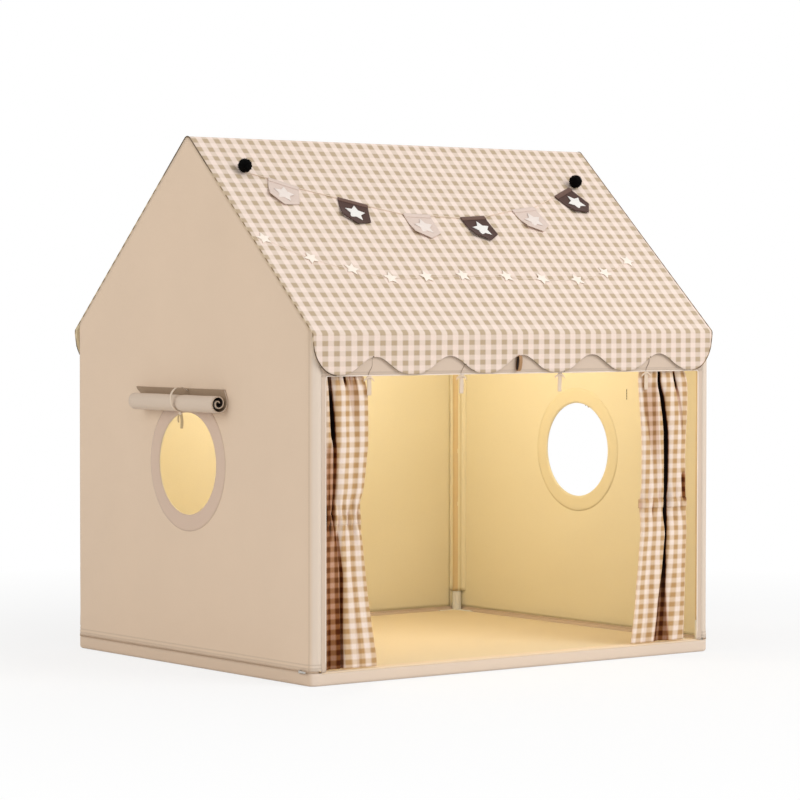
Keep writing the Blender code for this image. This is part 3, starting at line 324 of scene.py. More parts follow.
# Painted shade: a deeper straw for the sleeves in the tent's corners.
sleeve_shade = plain_cloth("post_sleeve_painted_shade", linear(216, 190, 146), sheen=0.05, cloud=0.02)
facing_cloth = plain_cloth("window_facing_cloth", linear(208, 183, 163), sheen=0.10)
cover_cloth = plain_cloth("window_cover_cloth", linear(208, 189, 170), sheen=0.12)
mat_cloth = plain_cloth("mat_cloth", linear(223, 202, 163), yarn=0.0016, sheen=0.25, cloud=0.02)
white_piping = plain_cloth("white_piping", linear(246, 232, 220), yarn=0.0008)
# Dark brown: painted shade on the roof's edges, and the colour of the thread knots and the bar tack.
dark_thread_and_edge_shade = roof_edge_shade()
gable_edge = gable_edging()
zip_tape = plain_cloth("zip_tape_cloth", linear(214, 190, 166), yarn=0.0007, sheen=0.0)
ribbon = plain_cloth("pale_ribbon", linear(226, 204, 180), yarn=0.0008)
tie_ribbon = plain_cloth("roll_tie_ribbon", linear(222, 203, 182), yarn=0.0008)
tie_tail = plain_cloth("roll_tie_tail_ribbon", linear(190, 166, 128), yarn=0.0008)
cover_shade_side = window_cover_painted_shade()
# The roof's valance gets painted shade, 9 % of the way to brown.
roof_check = check_cloth(
    "roof_check",
    (linear(247, 229, 218), linear(235, 216, 201), linear(225, 206, 189), linear(189, 167, 138)),
    (CHECK_X, CHECK_SLOPE), (0.14, 0.306), hems=(-0.122,), valance_shade=0.09,
)
curtain_check = check_cloth(
    "curtain_check",
    (linear(250, 235, 225), linear(233, 209, 184), linear(225, 197, 166), linear(191, 151, 102)),
    (0.0285, 0.0234), (0.0, 0.363), soft=0.16, folds=True,
)
pale_felt = felt("pale_felt", linear(222, 202, 190))
pale_patch = felt("pale_patch_felt", linear(240, 226, 218))
brown_felt = felt("brown_felt", linear(72, 46, 38), sheen=0.1)
brown_band = felt("brown_band_felt", linear(104, 76, 65), sheen=0.1)
white_patch = felt("white_patch_felt", linear(246, 240, 234))
black_wool = felt("black_wool", linear(5, 4, 4), sheen=0.0, shine=0.1)
leather = hard("brown_leather", linear(164, 124, 84), 0.6, grain=0.08, scale=300.0)
# Painted shade: a near black inner face for the shade inside the strap's loop.
strap_inside_shade = hard("strap_inside_painted_shade", linear(48, 32, 22), 0.9, grain=0.05, scale=300.0)
star_plastic = hard("star_plastic", linear(253, 240, 226), 0.35, coat=0.2)
wire_plastic = hard("wire_plastic", linear(244, 228, 212), 0.4)
garland_twine = hard("garland_twine", linear(236, 216, 196), 0.9)
# Painted shadow: brown thread for the shadow lines of the header ribbons.
ribbon_shadow_thread = hard("ribbon_shadow_thread", linear(128, 104, 82), 0.8)
coil_plastic = hard("zip_coil_plastic", linear(186, 160, 134), 0.5)
nickel = hard("nickel_plate", linear(206, 204, 200), 0.28, metallic=1.0, grain=0.08)
pole_coat = hard("pole_white_coat", linear(235, 232, 226), 0.38, coat=0.3)
moulded = hard("connector_white_plastic", linear(232, 229, 222), 0.48)


def grid(*parts):
    """Coordinates that vary over rows, columns or both, stacked to one grid of points."""
    return np.stack(np.broadcast_arrays(*parts), axis=-1)


def run_along(line):
    """The way gone along a line of points at each of them, from 0."""
    return np.concatenate([[0.0], np.cumsum(np.linalg.norm(np.diff(line, axis=0), axis=1))])


def at_runs(line, spots):
    """The points of a line of points at the given ways along it."""
    run = run_along(line)
    return np.stack([np.interp(spots, run, column) for column in line.T], axis=-1)


def on_ball(fall, turn, girth=1.0):
    """Points of a unit ball at an angle from its top and a turn round it."""
    return grid(girth * np.sin(fall) * np.cos(turn), girth * np.sin(fall) * np.sin(turn), np.cos(fall))


def add_mesh(name, vertices, faces, finish):
    """A mesh object at the origin, smooth shaded."""
    mesh = bpy.data.meshes.new(name)
    mesh.from_pydata(np.asarray(vertices).reshape(-1, 3).tolist(), [], faces)
    mesh.materials.append(finish)
    mesh.shade_smooth()
    made = bpy.data.objects.new(name, mesh)
    bpy.context.scene.collection.objects.link(made)
    return made


def grid_faces(rows, columns):
    """The quads of a grid of points, row by row."""
    index = np.arange(rows * columns).reshape(rows, columns)
    quads = np.stack([index[:-1, :-1], index[:-1, 1:], index[1:, 1:], index[1:, :-1]], axis=-1)
    return quads.reshape(-1, 4)


def ring_faces(index):
    """The quads between closed rings of points, from the points' numbers (..., rings, around)."""
    pair = np.stack([index, np.roll(index, -1, axis=-1)], axis=-1)
    quads = np.concatenate([pair[..., :-1, :, :], pair[..., 1:, :, ::-1]], axis=-1)
    return quads.reshape(-1, 4)


def surface(name, points, finish, place=None, caps=(), away=None, welded=False):
    """A sheet over a grid of points (rows, columns, 3).

    place holds each point's spot on the flat cloth. caps names the rows (0 or -1) that a face
    closes. away is a point that the faces turn their backs to. Welded sheets join their ends.
    """
    rows, columns = points.shape[:2]
    quads = grid_faces(rows, columns)
    faces = quads.tolist()
    for row in caps:
        start = (rows - 1) * columns if row == -1 else 0
        ring = list(range(start, start + columns - (1 if welded else 0)))
        faces.append(ring if row == -1 else ring[::-1])
    made = add_mesh(name, points, faces, finish)
    if place is None:
        place = grid(points[..., 0] + points[..., 1], points[..., 2])
    flat = np.asarray(place).reshape(-1, 2)
    corners = np.concatenate([np.asarray(face) for face in faces])
    layer = made.data.uv_layers.new(name="cloth")
    layer.data.foreach_set("uv", flat[corners].ravel())
    if welded:
        weld(made)
    if away is not None:
        turn_away(made, away)
    return made


def weld(made, distance=1e-6):
    """Merges the points that lie on each other."""
    work = bmesh.new()
    work.from_mesh(made.data)
    bmesh.ops.remove_doubles(work, verts=work.verts, dist=distance)
    work.to_mesh(made.data)
    work.free()
    return made


def turn_away(made, point):
    """Flips the faces if most of them look at the point."""
    mesh = made.data
    count = len(mesh.polygons)
    centres, normals = np.empty(count * 3), np.empty(count * 3)
    mesh.polygons.foreach_get("center", centres)
    mesh.polygons.foreach_get("normal", normals)
    looks = ((centres.reshape(-1, 3) - np.asarray(point)) * normals.reshape(-1, 3)).sum()
    if looks < 0:
        mesh.flip_normals()


def outward(made):
    """Turns a closed shape's faces outwards."""
    work = bmesh.new()
    work.from_mesh(made.data)
    bmesh.ops.recalc_face_normals(work, faces=work.faces)
    work.to_mesh(made.data)
    work.free()
    return made


def thicken(made, thickness, inner=None, rim=None, offset=-1.0):
    """Gives a sheet its thickness, with its own finish on the back and the edge."""
    if inner:
        made.data.materials.append(inner)
    if rim:
        made.data.materials.append(rim)
    solid = made.modifiers.new("cloth thickness", "SOLIDIFY")
    solid.thickness, solid.offset, solid.use_even_offset = thickness, offset, True
    solid.material_offset = 1 if inner else 0
    solid.material_offset_rim = (2 if inner else 1) if rim else 0
    return made


def wear(made, body, slot, *nodes):
    """Puts a piece on its body and hides the nodes that it stands for. The slot is not used."""
    if nodes:
        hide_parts(*nodes)
    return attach(made, body)


def ease(value):
    """A smooth step from 0 to 1: 3v^2 - 2v^3, held at its ends."""
    held = np.clip(value, 0.0, 1.0)
    return held * held * (3 - 2 * held)


def swell(a, b, seed, longest, waves=8):
    """Soft unevenness of hung cloth: a sum of sine waves, each with its own way, length and phase."""
    dice = np.random.default_rng(seed)
    total = np.zeros(np.broadcast(a, b).shape)
    for _ in range(waves):
        way, length = dice.uniform(0, math.pi), longest * dice.uniform(0.35, 1.0)
        phase = dice.uniform(0, 6.28)
        turns = (a * math.cos(way) + b * math.sin(way)) / length
        total += length / longest * np.sin(2 * math.pi * turns + phase)
    return total / (waves * 0.45)


def roof_height(y, offset):
    """Height of the sheet offset outside the rafters: two planes and a circle over the ridge pole."""
    plane = EAVE_Z + (POST_Y - np.abs(y)) * math.tan(PITCH) + offset / math.cos(PITCH)
    circle = RIDGE_Z + np.sqrt(np.maximum(offset * offset - y * y, 0))
    return np.where(np.abs(y) < offset * math.sin(PITCH), circle, plane)


def on_slope(x, s, lift):
    """A point at x, s down the front slope from its top, and lift off its cloth."""
    y = -s * math.cos(PITCH) - lift * math.sin(PITCH)
    z = ROOF_TOP - s * math.sin(PITCH) + lift * math.cos(PITCH)
    return grid(x, y, z)


def ribbon_sheet(name, line, side, width, finish, thickness):
    """A ribbon: a line of points widened along side, with its cloth place in metres."""
    line, side = np.asarray(line, float), np.asarray(side, float)
    side = np.broadcast_to(side / np.linalg.norm(side, axis=-1, keepdims=True), line.shape)
    across = np.linspace(-0.5, 0.5, 5)
    points = line[:, None, :] + side[:, None, :] * across[None, :, None] * width
    place = grid(across[None, :] * width, run_along(line)[:, None])
    return thicken(surface(name, points, finish, place), thickness, offset=0.0)


def cord_tube(name, line, radius, finish, sides=10, lump=0.0):
    """A round cord: a circle carried along a line of points on frames that never twist."""
    line = np.asarray(line, float)
    along = np.gradient(line, axis=0)
    along /= np.linalg.norm(along, axis=1, keepdims=True)
    level = np.array([0.0, 0.0, 1.0]) if abs(along[0][2]) < 0.9 else np.array([1.0, 0.0, 0.0])
    first, side = [], np.cross(along[0], level)
    for way in along:
        side = side - way * (side @ way)
        side = side / np.linalg.norm(side)
        first.append(side)
    first = np.array(first)
    second = np.cross(along, first)
    turns = np.linspace(0, 2 * math.pi, sides + 1)
    run = run_along(line)
    thick = radius * (1 + lump * np.sin(run * 900.0))[:, None, None]
    ring = np.cos(turns)[None, :, None] * first[:, None] + np.sin(turns)[None, :, None] * second[:, None]
    place = grid(turns[None, :] * radius, run[:, None])
    return outward(surface(name, line[:, None] + thick * ring, finish, place, caps=(0, -1), welded=True))


def ball_knot(name, centre, radii, finish, rows, columns, ridges=0.0, pole=0.02):
    """A knot: an ellipsoid over two angles, its girth times 1 + ridges x sin(3 turn + 4 fall)."""
    fall, turn = np.linspace(pole, math.pi - pole, rows)[:, None], np.linspace(0, 2 * math.pi, columns)
    ball = on_ball(fall, turn, 1 + ridges * np.sin(3 * turn + 4 * fall))
    points = np.array(centre) + np.array(radii) * ball
    return outward(surface(name, points, finish, caps=(0, -1), welded=True))


def wall_plan(a, out):
    """Plan of a gable wall at a from its middle: straight, a quarter circle round the post, a return."""
    straight = HALF_D - CORNER_R
    away = np.abs(a)
    turn = np.clip((away - straight) / CORNER_R, 0, math.pi / 2)
    past = np.maximum(away - straight - CORNER_R * math.pi / 2, 0)
    x = HALF_W - CORNER_R + (CORNER_R + out) * np.cos(turn) - past
    y = np.sign(a) * (np.minimum(away, straight) + (CORNER_R + out) * np.sin(turn))
    return x, y


def wall_head(a):
    """Height of a gable wall's top edge at a, just under the roof cloth."""
    return roof_height(wall_plan(a, 0.0)[1], HUB_R)


def gable_wall(side, sx):
    """A gable wall as a fan of lines from the round window out to the wall's own outline.

    A point is the window's edge plus t of the way to the outline, bent round the posts in plan.
    """
    across = np.linspace(-WALL_END, WALL_END, 121)
    up = np.linspace(0, 1, 49)[1:-1]
    foot = grid(across, WALL_FOOT)
    head = grid(across[::-1], wall_head(across[::-1]))
    rise = WALL_FOOT + (head[0, 1] - WALL_FOOT) * up
    right, left = grid(WALL_END, rise), grid(-WALL_END, rise[::-1])
    outline = np.concatenate([foot, right, head, left, foot[:1]])
    centre = np.array([0.0, WINDOW_Z])
    reach = outline - centre
    hole = centre + reach / np.linalg.norm(reach, axis=1, keepdims=True) * (WINDOW_R + 0.0015)
    t = np.linspace(0, 1, 41)[:, None, None] ** 0.9
    flat = hole[None] + (outline - hole)[None] * t
    a, z = flat[..., 0], flat[..., 1]
    edge = np.minimum(np.minimum(z - WALL_FOOT, wall_head(a) - z), WALL_END - np.abs(a))
    from_window = np.hypot(a, z - WINDOW_Z)
    calm = ease(edge / 0.06) * ease((from_window - 0.165) / 0.06) * ease((0.455 - np.abs(a)) / 0.05)
    out = 0.0022 * calm * swell(a, z, 11 + sx, 0.42)
    out = np.where((z > 0.58) & (np.abs(a) < 0.24), np.minimum(out, 0), out)
    out -= 0.0011 * np.exp(-(((np.abs(a) - SIDE_SEAM) / 0.0028) ** 2)) * ease((z - 0.06) / 0.03)
    out += 0.0007 * ease((0.0495 - z) / 0.0015)
    x, y = wall_plan(a, out)
    points = grid(sx * x, y, z)
    wall = surface(f"{side}_wall_cloth", points, wall_cloth, flat, away=(0, 0, 0.5), welded=True)
    thicken(wall, CLOTH, lining, wall_cloth)
    wear(wall, "house", "beige_cloth", f"{side}_wall")
    for end, sy in (("front", -1), ("back", 1)):
        post_sleeve(f"{end}_{side}_post_sleeve", sx, sy)


def post_sleeve(name, sx, sy):
    """The sewn sleeve of lining round a post: a tangent flap, 170 degrees of a circle, a tangent flap. Its
    round part is a deeper straw, painted shade for the tent's corner.
    """
    radius = 0.0098 + CLOTH / 2
    turns = np.radians(np.linspace(-50, -220, 22))
    u, v = radius * np.cos(turns), radius * np.sin(turns)
    gable, face = HALF_W - CLOTH - FIT - POST_X, HALF_D - CLOTH - FIT - POST_Y
    u = np.concatenate([[gable, gable - 0.0012, gable - 0.0032], u, [u[-1] - 0.0012, u[-1] - 0.004]])
    v = np.concatenate([[v[0] - 0.0125, v[0] - 0.0080, v[0] - 0.0035], v, [face - 0.0006, face]])
    z = np.linspace(0.0773, 0.7285, 60)
    give = 1 + 0.05 * swell(np.arange(len(u))[None, :] * 0.004, z[:, None], 5 + sx + 2 * sy, 0.12)
    x = sx * (POST_X + u[None, :] * give)
    y = sy * (POST_Y + v[None, :] * give)
    made = surface(name, grid(x, y, z[:, None]), sleeve_shade, away=(sx * POST_X, sy * POST_Y, 0.4))
    made.data.materials.append(lining)
    # The round part keeps the painted corner shade; faces by the walls take the lining.
    middles = [np.abs(face.center) for face in made.data.polygons]
    flat_side = np.array([x > POST_X - 0.0050 or y > POST_Y + 0.0045 for x, y, _ in middles])
    made.data.polygons.foreach_set("material_index", flat_side.astype(np.int32))
    thicken(made, 0.0012, offset=0.0)
    wear(made, "house", "beige_cloth")


def window_facing(side, sx):
    """The facing round a window: a bowed band on each face of the wall, turned through the hole."""
    bands = np.linspace(0, 1, 9)
    bow = 0.0013 * np.sqrt(np.maximum(1 - (2 * bands - 1) ** 6, 0.0)) + FIT
    radii = WINDOW_R + FACING_W * np.concatenate([bands, bands[::-1], [0.0]])
    outs = np.concatenate([bow, -CLOTH - bow[::-1], [bow[0]]])
    # Where the band turns through the hole, it stands a little inside the wall's edge
    radii[0] = radii[17] = radii[18] = WINDOW_R - 0.0003
    turns = np.linspace(0, 2 * math.pi, 121)
    y = radii[:, None] * np.sin(turns)[None]
    z = WINDOW_Z + radii[:, None] * np.cos(turns)[None]
    points = grid(sx * (HALF_W + outs[:, None]), y, z)
    place = grid(radii[:, None], turns[None] * 0.14)
    made = outward(surface(f"{side}_window_facing_ring", points, facing_cloth, place, welded=True))
    made.data.materials.append(lining_facing)
    inside = np.array([abs(face.center.x) < HALF_W - 0.0006 for face in made.data.polygons])
    made.data.polygons.foreach_set("material_index", inside.astype(np.int32))
    wear(made, "house", "facing_cloth", f"{side}_window_facing")


def valance_edge(x):
    """Height of the scalloped edge: a raised-cosine wave with quarter-ellipse outer ends."""
    last = 2.5 * SCALLOP_PITCH
    past = np.abs(x) - last
    rise = float(roof_height(np.float64(VALANCE_Y), HUB_R)) - VALANCE_Z - FOLD_R
    share = np.clip(past / (0.314 * SCALLOP_PITCH), 0, 1)
    end = VALANCE_Z + rise * (1 - np.sqrt(1 - share * share))
    wave = ((1 - np.cos(2 * math.pi * (x - last) / SCALLOP_PITCH)) / 2) ** 1.45
    return np.where(past > 0, end, VALANCE_Z + 0.041 * wave)


def roof_cloth():
    """The roof in one sheet: a path from one scalloped edge over the ridge to the other, along X."""
    x = np.linspace(-HALF_W, HALF_W, 301)
    offset, out, bend = HUB_R + FIT + CLOTH, VALANCE_Y + CLOTH, FOLD_R + CLOTH / 2
    turn = math.pi / 2 - PITCH
    fold_z = float(roof_height(np.float64(out), offset)) - bend * math.tan(turn / 2)
    around = np.linspace(math.pi, math.pi - turn, 7)
    fold = grid(-out + bend + bend * np.cos(around), fold_z + bend * np.sin(around))
    over = np.linspace(math.pi / 2 + PITCH, math.pi / 2, 7)
    ridge = grid(offset * np.cos(over), RIDGE_Z + offset * np.sin(over))
    up = np.linspace(0, 1, 46)[1:-1, None]
    front = np.concatenate([fold, fold[-1] + (ridge[0] - fold[-1]) * up, ridge])
    run = run_along(front)
    whole = np.concatenate([front, front[-2::-1] * [-1, 1]])
    along = np.concatenate([run, 2 * run[-1] - run[-2::-1]])
    edge = np.minimum(np.minimum(along, 2 * run[-1] - along), np.abs(along - run[-1]))
    calm = ease(edge[:, None] / 0.10) * ease((HALF_W - np.abs(x))[None, :] / 0.08)
    sag = -0.0016 * calm * (0.5 + 0.5 * swell(x[None, :], along[:, None], 3, 0.5))
    y = whole[:, 0][:, None] + np.sign(whole[:, 0])[:, None] * math.sin(PITCH) * sag
    z = whole[:, 1][:, None] + math.cos(PITCH) * sag
    middle = grid(x[None, :], y, z)
    down = np.linspace(0, 1, 19)[:-1][:, None]
    edge_z = valance_edge(x)[None, :]
    drop_z = edge_z + (fold_z - edge_z) * down
    hang = (fold_z - drop_z) / 0.09
    stretch = CHECK_SLOPE / CHECK_DROP
    layers = []
    for sy in (-1, 1):
        flutter = 0.0009 * hang * swell(x[None, :], drop_z, 21 + sy, 0.2)
        layers.append(grid(x[None, :], sy * (out + np.maximum(flutter, -0.0008)), drop_z))
    points = np.concatenate([layers[0], middle, layers[1][::-1]])
    v_front = -(fold_z - drop_z) * stretch
    v_back = 2 * run[-1] + (fold_z - drop_z) * stretch
    v = np.concatenate([v_front, np.broadcast_to(along[:, None], y.shape), v_back[::-1]])
    grain = 0.0125 * (0.262 - np.clip(v, 0.09, 2 * run[-1] - 0.09))
    roof = surface("roof_cloth", points, roof_check, grid(x[None, :] + grain, v), away=(0, 0, 0.7))
    # The rim takes the dark brown painted edge shade.
    thicken(roof, CLOTH * 0.9, lining, dark_thread_and_edge_shade)
    wear(roof, "house", "gingham_cloth", "roof_cover")
    gable_piping("left", points[:, ::-1], dark_thread_and_edge_shade)
    gable_piping("right", points, gable_edge)


def gable_piping(side, roof, finish):
    """A thin piping along the last column of the roof's grid and round the ends of both valances."""
    end = np.abs(roof[0, :, 0]) > 2.5 * SCALLOP_PITCH
    end &= roof[0, :, 0] * roof[0, -1, 0] > 0
    edge = np.concatenate([roof[0, end], roof[1:-1, -1], roof[-1, end][::-1]])
    line = at_runs(edge, np.arange(0.0, run_along(edge)[-1], 0.003))
    wear(cord_tube(f"{side}_gable_piping", line, 0.0012, finish, sides=8), "house", "gingham_cloth")


def flat_panel(name, x0, x1, z0, z1, y, finish, inner, steps, seed, calm_edge=0.04):
    """An upright panel across the tent, with a soft swell that dies out at its edges."""
    x = np.linspace(x0, x1, steps[0])[None, :]
    z = np.linspace(z0, z1, steps[1])[:, None]
    edge = np.minimum(np.minimum(x - x0, x1 - x), np.minimum(z - z0, z1 - z))
    out = 0.0018 * ease(edge / calm_edge) * swell(x, z, seed, 0.4) + 0.0006 * ease((0.0495 - z) / 0.0015)
    points = grid(x, y + math.copysign(1, y) * out, z)
    made = surface(name, points, finish, grid(x, z), away=(0, 0, (z0 + z1) / 2))
    return thicken(made, CLOTH, inner, finish)


def straight_walls():
    """The back wall, and the header and jambs of the door."""
    top = float(roof_height(np.float64(HALF_D), HUB_R))
    span, foot = SEAM_X - FIT, 0.0312
    place = (-span, span, WALL_FOOT, top, HALF_D)
    back = flat_panel("back_wall_cloth", *place, back_cloth, lining, (121, 81), 31)
    wear(back, "house", "beige_cloth", "back_wall")
    place = (-span, span, HEAD_Z, top, -HALF_D)
    header = flat_panel("door_header_cloth", *place, header_cloth, lining, (121, 13), 33, 0.03)
    wear(header, "house", "beige_cloth", "front_panel")
    for side, sx in (("left", -1), ("right", 1)):
        place = (*sorted((sx * DOOR_X, sx * span)), foot, HEAD_Z, -HALF_D)
        jamb = flat_panel(f"{side}_jamb_cloth", *place, header_cloth, lining, (7, 81), 35 + sx, 0.01)
        wear(jamb, "house", "beige_cloth", "front_panel")


def doorway_piping():
    """The piping up one jamb, under the header and down the other jamb, with rounded corners."""
    corner, bend = 0.006, np.linspace(0, math.pi / 2, 9)
    left = grid(-DOOR_X, np.linspace(0.0325, HEAD_Z - corner, 60))
    turn = grid(-DOOR_X + corner * (1 - np.cos(bend)), HEAD_Z - corner + corner * np.sin(bend))
    half = np.concatenate([left, turn[1:]])
    top_run = grid(np.linspace(-DOOR_X + corner, DOOR_X - corner, 120)[1:-1], HEAD_Z)
    route = np.concatenate([half, top_run, half[::-1] * [-1, 1]])
    line = grid(route[:, 0], -HALF_D + CLOTH / 2, route[:, 1])
    wear(cord_tube("doorway_piping", line, 0.0015, white_piping), "house", "pale_ribbon")


def rounded_plan(inset, count):
    """Points round the footprint, inset from it, with rounded corners: four arcs and four sides."""
    radius = max(CORNER_R - inset, 0.0005)
    x, y = HALF_W - inset - radius, HALF_D - inset - radius
    turn = np.linspace(0, math.pi / 2, count // 8)
    runs = []
    for k, (cx, cy) in enumerate(((x, y), (-x, y), (-x, -y), (x, -y))):
        bend = turn + k * math.pi / 2
        runs.append(grid(cx + radius * np.cos(bend), cy + radius * np.sin(bend)))
        nx, ny = ((-x, y), (-x, -y), (x, -y), (x, y))[k]
        way = bend[-1]
        start, end = runs[-1][-1], grid(nx + radius * math.cos(way), ny + radius * math.sin(way))
        runs.append(start + (end - start) * np.linspace(0, 1, count // 8 + 1)[1:-1, None])
    plan = np.concatenate(runs)
    return np.concatenate([plan, plan[:1]])


def swept(name, section, finish, count=320, uneven=0.0, seed=1, **options):
    """A shape whose rows are the footprint's outline at each (inset, height) of the section."""
    plans = np.stack([rounded_plan(inset, count) for inset, _ in section])
    heights = np.array([height for _, height in section])[:, None]
    x, y, z = plans[..., 0], plans[..., 1], heights
    if uneven:
        insets = np.array([inset for inset, _ in section])[:, None]
        z = z + uneven * swell(x, y, seed, 0.35) * ease(insets / 0.05)
    return surface(name, grid(x, y, z), finish, plans + heights[..., None], welded=True, **options)


def ground_sheet():
    """The ground sheet: its floor, its foot, a quarter circle, and its upright band."""
    turns = np.linspace(0, math.pi / 2, 7)
    foot = 0.007
    section = [(0.0, BAND_TOP), (0.0, 0.022), (0.0, 0.015)]
    section += [(foot * (1 - math.cos(t)), foot * (1 - math.sin(t))) for t in turns]
    section += [(0.04, 0.0), (0.2, 0.0), (0.46, 0.0)]
    band = swept("ground_sheet_cloth", section, base_cloth, caps=(-1,), away=(0, 0, 0.02))
    thicken(band, CLOTH, base_cloth)
    wear(band, "house", "beige_cloth", "ground_sheet")


def floor_mat():
    """The padded mat: half an ellipse for its rim, a crown that levels out inwards, and its piping."""
    edge, low, high = 0.0300, 0.0024, 0.0284
    middle, half = (low + high) / 2, (high - low) / 2
    turns = np.linspace(math.pi / 2, -math.pi / 2, 13)
    rim = [(edge + 0.010 * (1 - math.cos(t)), middle + half * math.sin(t)) for t in turns]
    inner = [edge + 0.012 + 0.4 * k / 24 for k in range(1, 25)]
    section = [(i, high + 0.0008 * (1 - math.exp(-(i - edge) / 0.03))) for i in reversed(inner)] + rim
    section += [(0.2, low), (0.44, low)]
    mat = outward(swept("padded_floor_mat", section, mat_cloth, uneven=0.0006, seed=8, caps=(0, -1)))
    wear(mat, "house", "mat_cloth", "floor_mat")
    turns = np.linspace(0, 2 * math.pi, 9)
    seam = [(edge - 0.0006 + 0.0011 * math.cos(t), middle + 0.0011 * math.sin(t)) for t in turns]
    piping = outward(weld(swept("mat_piping", seam, mat_cloth)))
    wear(piping, "house", "mat_cloth")


def door_sill():
    """The hem over the front rail: up from the zip, round a quarter circle and back to the mat."""
    span = SEAM_X - 0.002
    x = np.linspace(-span, span, 161)[None, :]
    turns = np.linspace(math.pi, math.pi / 2, 6)
    y = np.concatenate([[-0.5002], -0.4972 + 0.0030 * np.cos(turns), [-0.49, -0.48, -0.47, -0.463, -0.4620]])
    z = np.concatenate([[0.0275], 0.0286 + 0.0028 * np.sin(turns), [0.0314, 0.0313, 0.0312, 0.0308, 0.0296]])
    points = grid(x, y[:, None], z[:, None] + 0.0005 * swell(x, y[:, None], 41, 0.15))
    sill = surface("door_sill_cloth", points, sill_cloth, away=(0, -0.48, 0.0))
    thicken(sill, 0.0012, sill_cloth)
    wear(sill, "house", "beige_cloth", "door_sill")


def zip_round_base():
    """The zip round three sides: a tape, and a coil of small plastic teeth set side by side.

    A tooth is a six-sided bead of four rings that stands 0.6 mm out of the tape.
    """
    plan = rounded_plan(0.0002, 640)[:-1]
    door = (np.abs(plan[:, 0]) < SEAM_X) & (plan[:, 1] < 0)
    start = np.flatnonzero(door)[-1] + 1
    plan = np.roll(plan, -start, axis=0)[~np.roll(door, -start)]
    run = run_along(plan)
    heights = ZIP_MIDDLE + np.linspace(-0.0024, 0.0024, 5)[:, None]
    points = grid(plan[:, 0], plan[:, 1], heights)
    tape = surface("zip_tape", points, zip_tape, grid(run, heights), away=(0, 0, 0.03))
    thicken(tape, 0.0010)
    wear(tape, "house", "zip_coil", "base_zip")

    spots = np.arange(0.002, run[-1] - 0.002, 0.0022)
    columns = np.hstack([plan, np.gradient(plan, run, axis=0)]).T
    x, y, tx, ty = (np.interp(spots, run, column)[:, None, None] for column in columns)
    tx, ty = tx / np.hypot(tx, ty), ty / np.hypot(tx, ty)
    levels = np.array([-0.0012, -0.0008, 0.0008, 0.0012])[:, None]
    radii = 0.0007 * np.array([0.5, 1.0, 1.0, 0.5])[:, None]
    angle = np.arange(6) * math.pi / 3
    t, n = radii * np.cos(angle), radii * np.sin(angle) + 0.0006
    points = grid(x + tx * t + ty * n, y + ty * t - tx * n, ZIP_MIDDLE + levels)
    index = np.arange(len(spots) * 24).reshape(-1, 4, 6)
    faces = ring_faces(index).tolist() + index[:, 0].tolist() + index[:, -1].tolist()
    teeth = outward(add_mesh("zip_teeth", points, faces, coil_plastic))
    wear(teeth, "house", "zip_coil")


def turn_back_to_wall(made, sx):
    """Turns a rolled cover's faces so that its flap looks at the wall, and its roll outwards."""
    normal = made.data.polygons[len(made.data.polygons) // 200].normal
    if normal.x * sx > 0:
        made.data.flip_normals()


def window_cover(side, sx):
    """A rolled cover: a flap down from its seam that goes on as a spiral, r = r0 - pitch x turns."""
    turns = np.linspace(0, ROLL_TURNS, 110)
    radius = ROLL_R - ROLL_PITCH * turns
    angle = math.pi + 2 * math.pi * turns
    curl = grid(ROLL_OUT + radius * np.cos(angle), ROLL_Z + radius * np.sin(angle))
    seam = np.array([FIT + 0.0017, 0.6577])
    fall = np.linspace(0, 1, 15)[:-1, None]
    flap = seam + (curl[0] - seam) * fall
    path = np.concatenate([flap, curl])
    run = run_along(path)
    way, level = run[:, None], np.linspace(-1, 1, 61)
    inner = np.clip((way - 0.06) / run[-1], 0, 1)
    near_seam = ease((0.026 - way) / 0.026)
    half = 0.1790 + 0.0100 * near_seam - 0.0022 * inner + 0.0006 * np.sin(way * 60)
    y = 0.0095 + 0.0200 * near_seam + level * half
    dent = 0.05 * ease(1 - np.abs(y + TIE_Y) / 0.022) * ease((way - 0.03) / 0.03)
    loose = 1 - dent + 0.018 * swell(y, way, 51 + sx, 0.16) * ease((way - 0.04) / 0.05)
    out = np.maximum(ROLL_OUT + (path[:, :1] - ROLL_OUT) * loose, 0.0018)
    points = grid(sx * (HALF_W + out), y, ROLL_Z + (path[:, 1:] - ROLL_Z) * loose)
    roll = surface(f"{side}_window_cover_roll", points, cover_cloth, grid(y, way))
    turn_back_to_wall(roll, sx)
    # The back face takes the cover's painted shade.
    thicken(roll, 0.0030, cover_shade_side, cover_cloth, offset=0.0)
    wear(roll, f"{side}_cover_roll", "beige_cloth", f"{side}_window_roll")


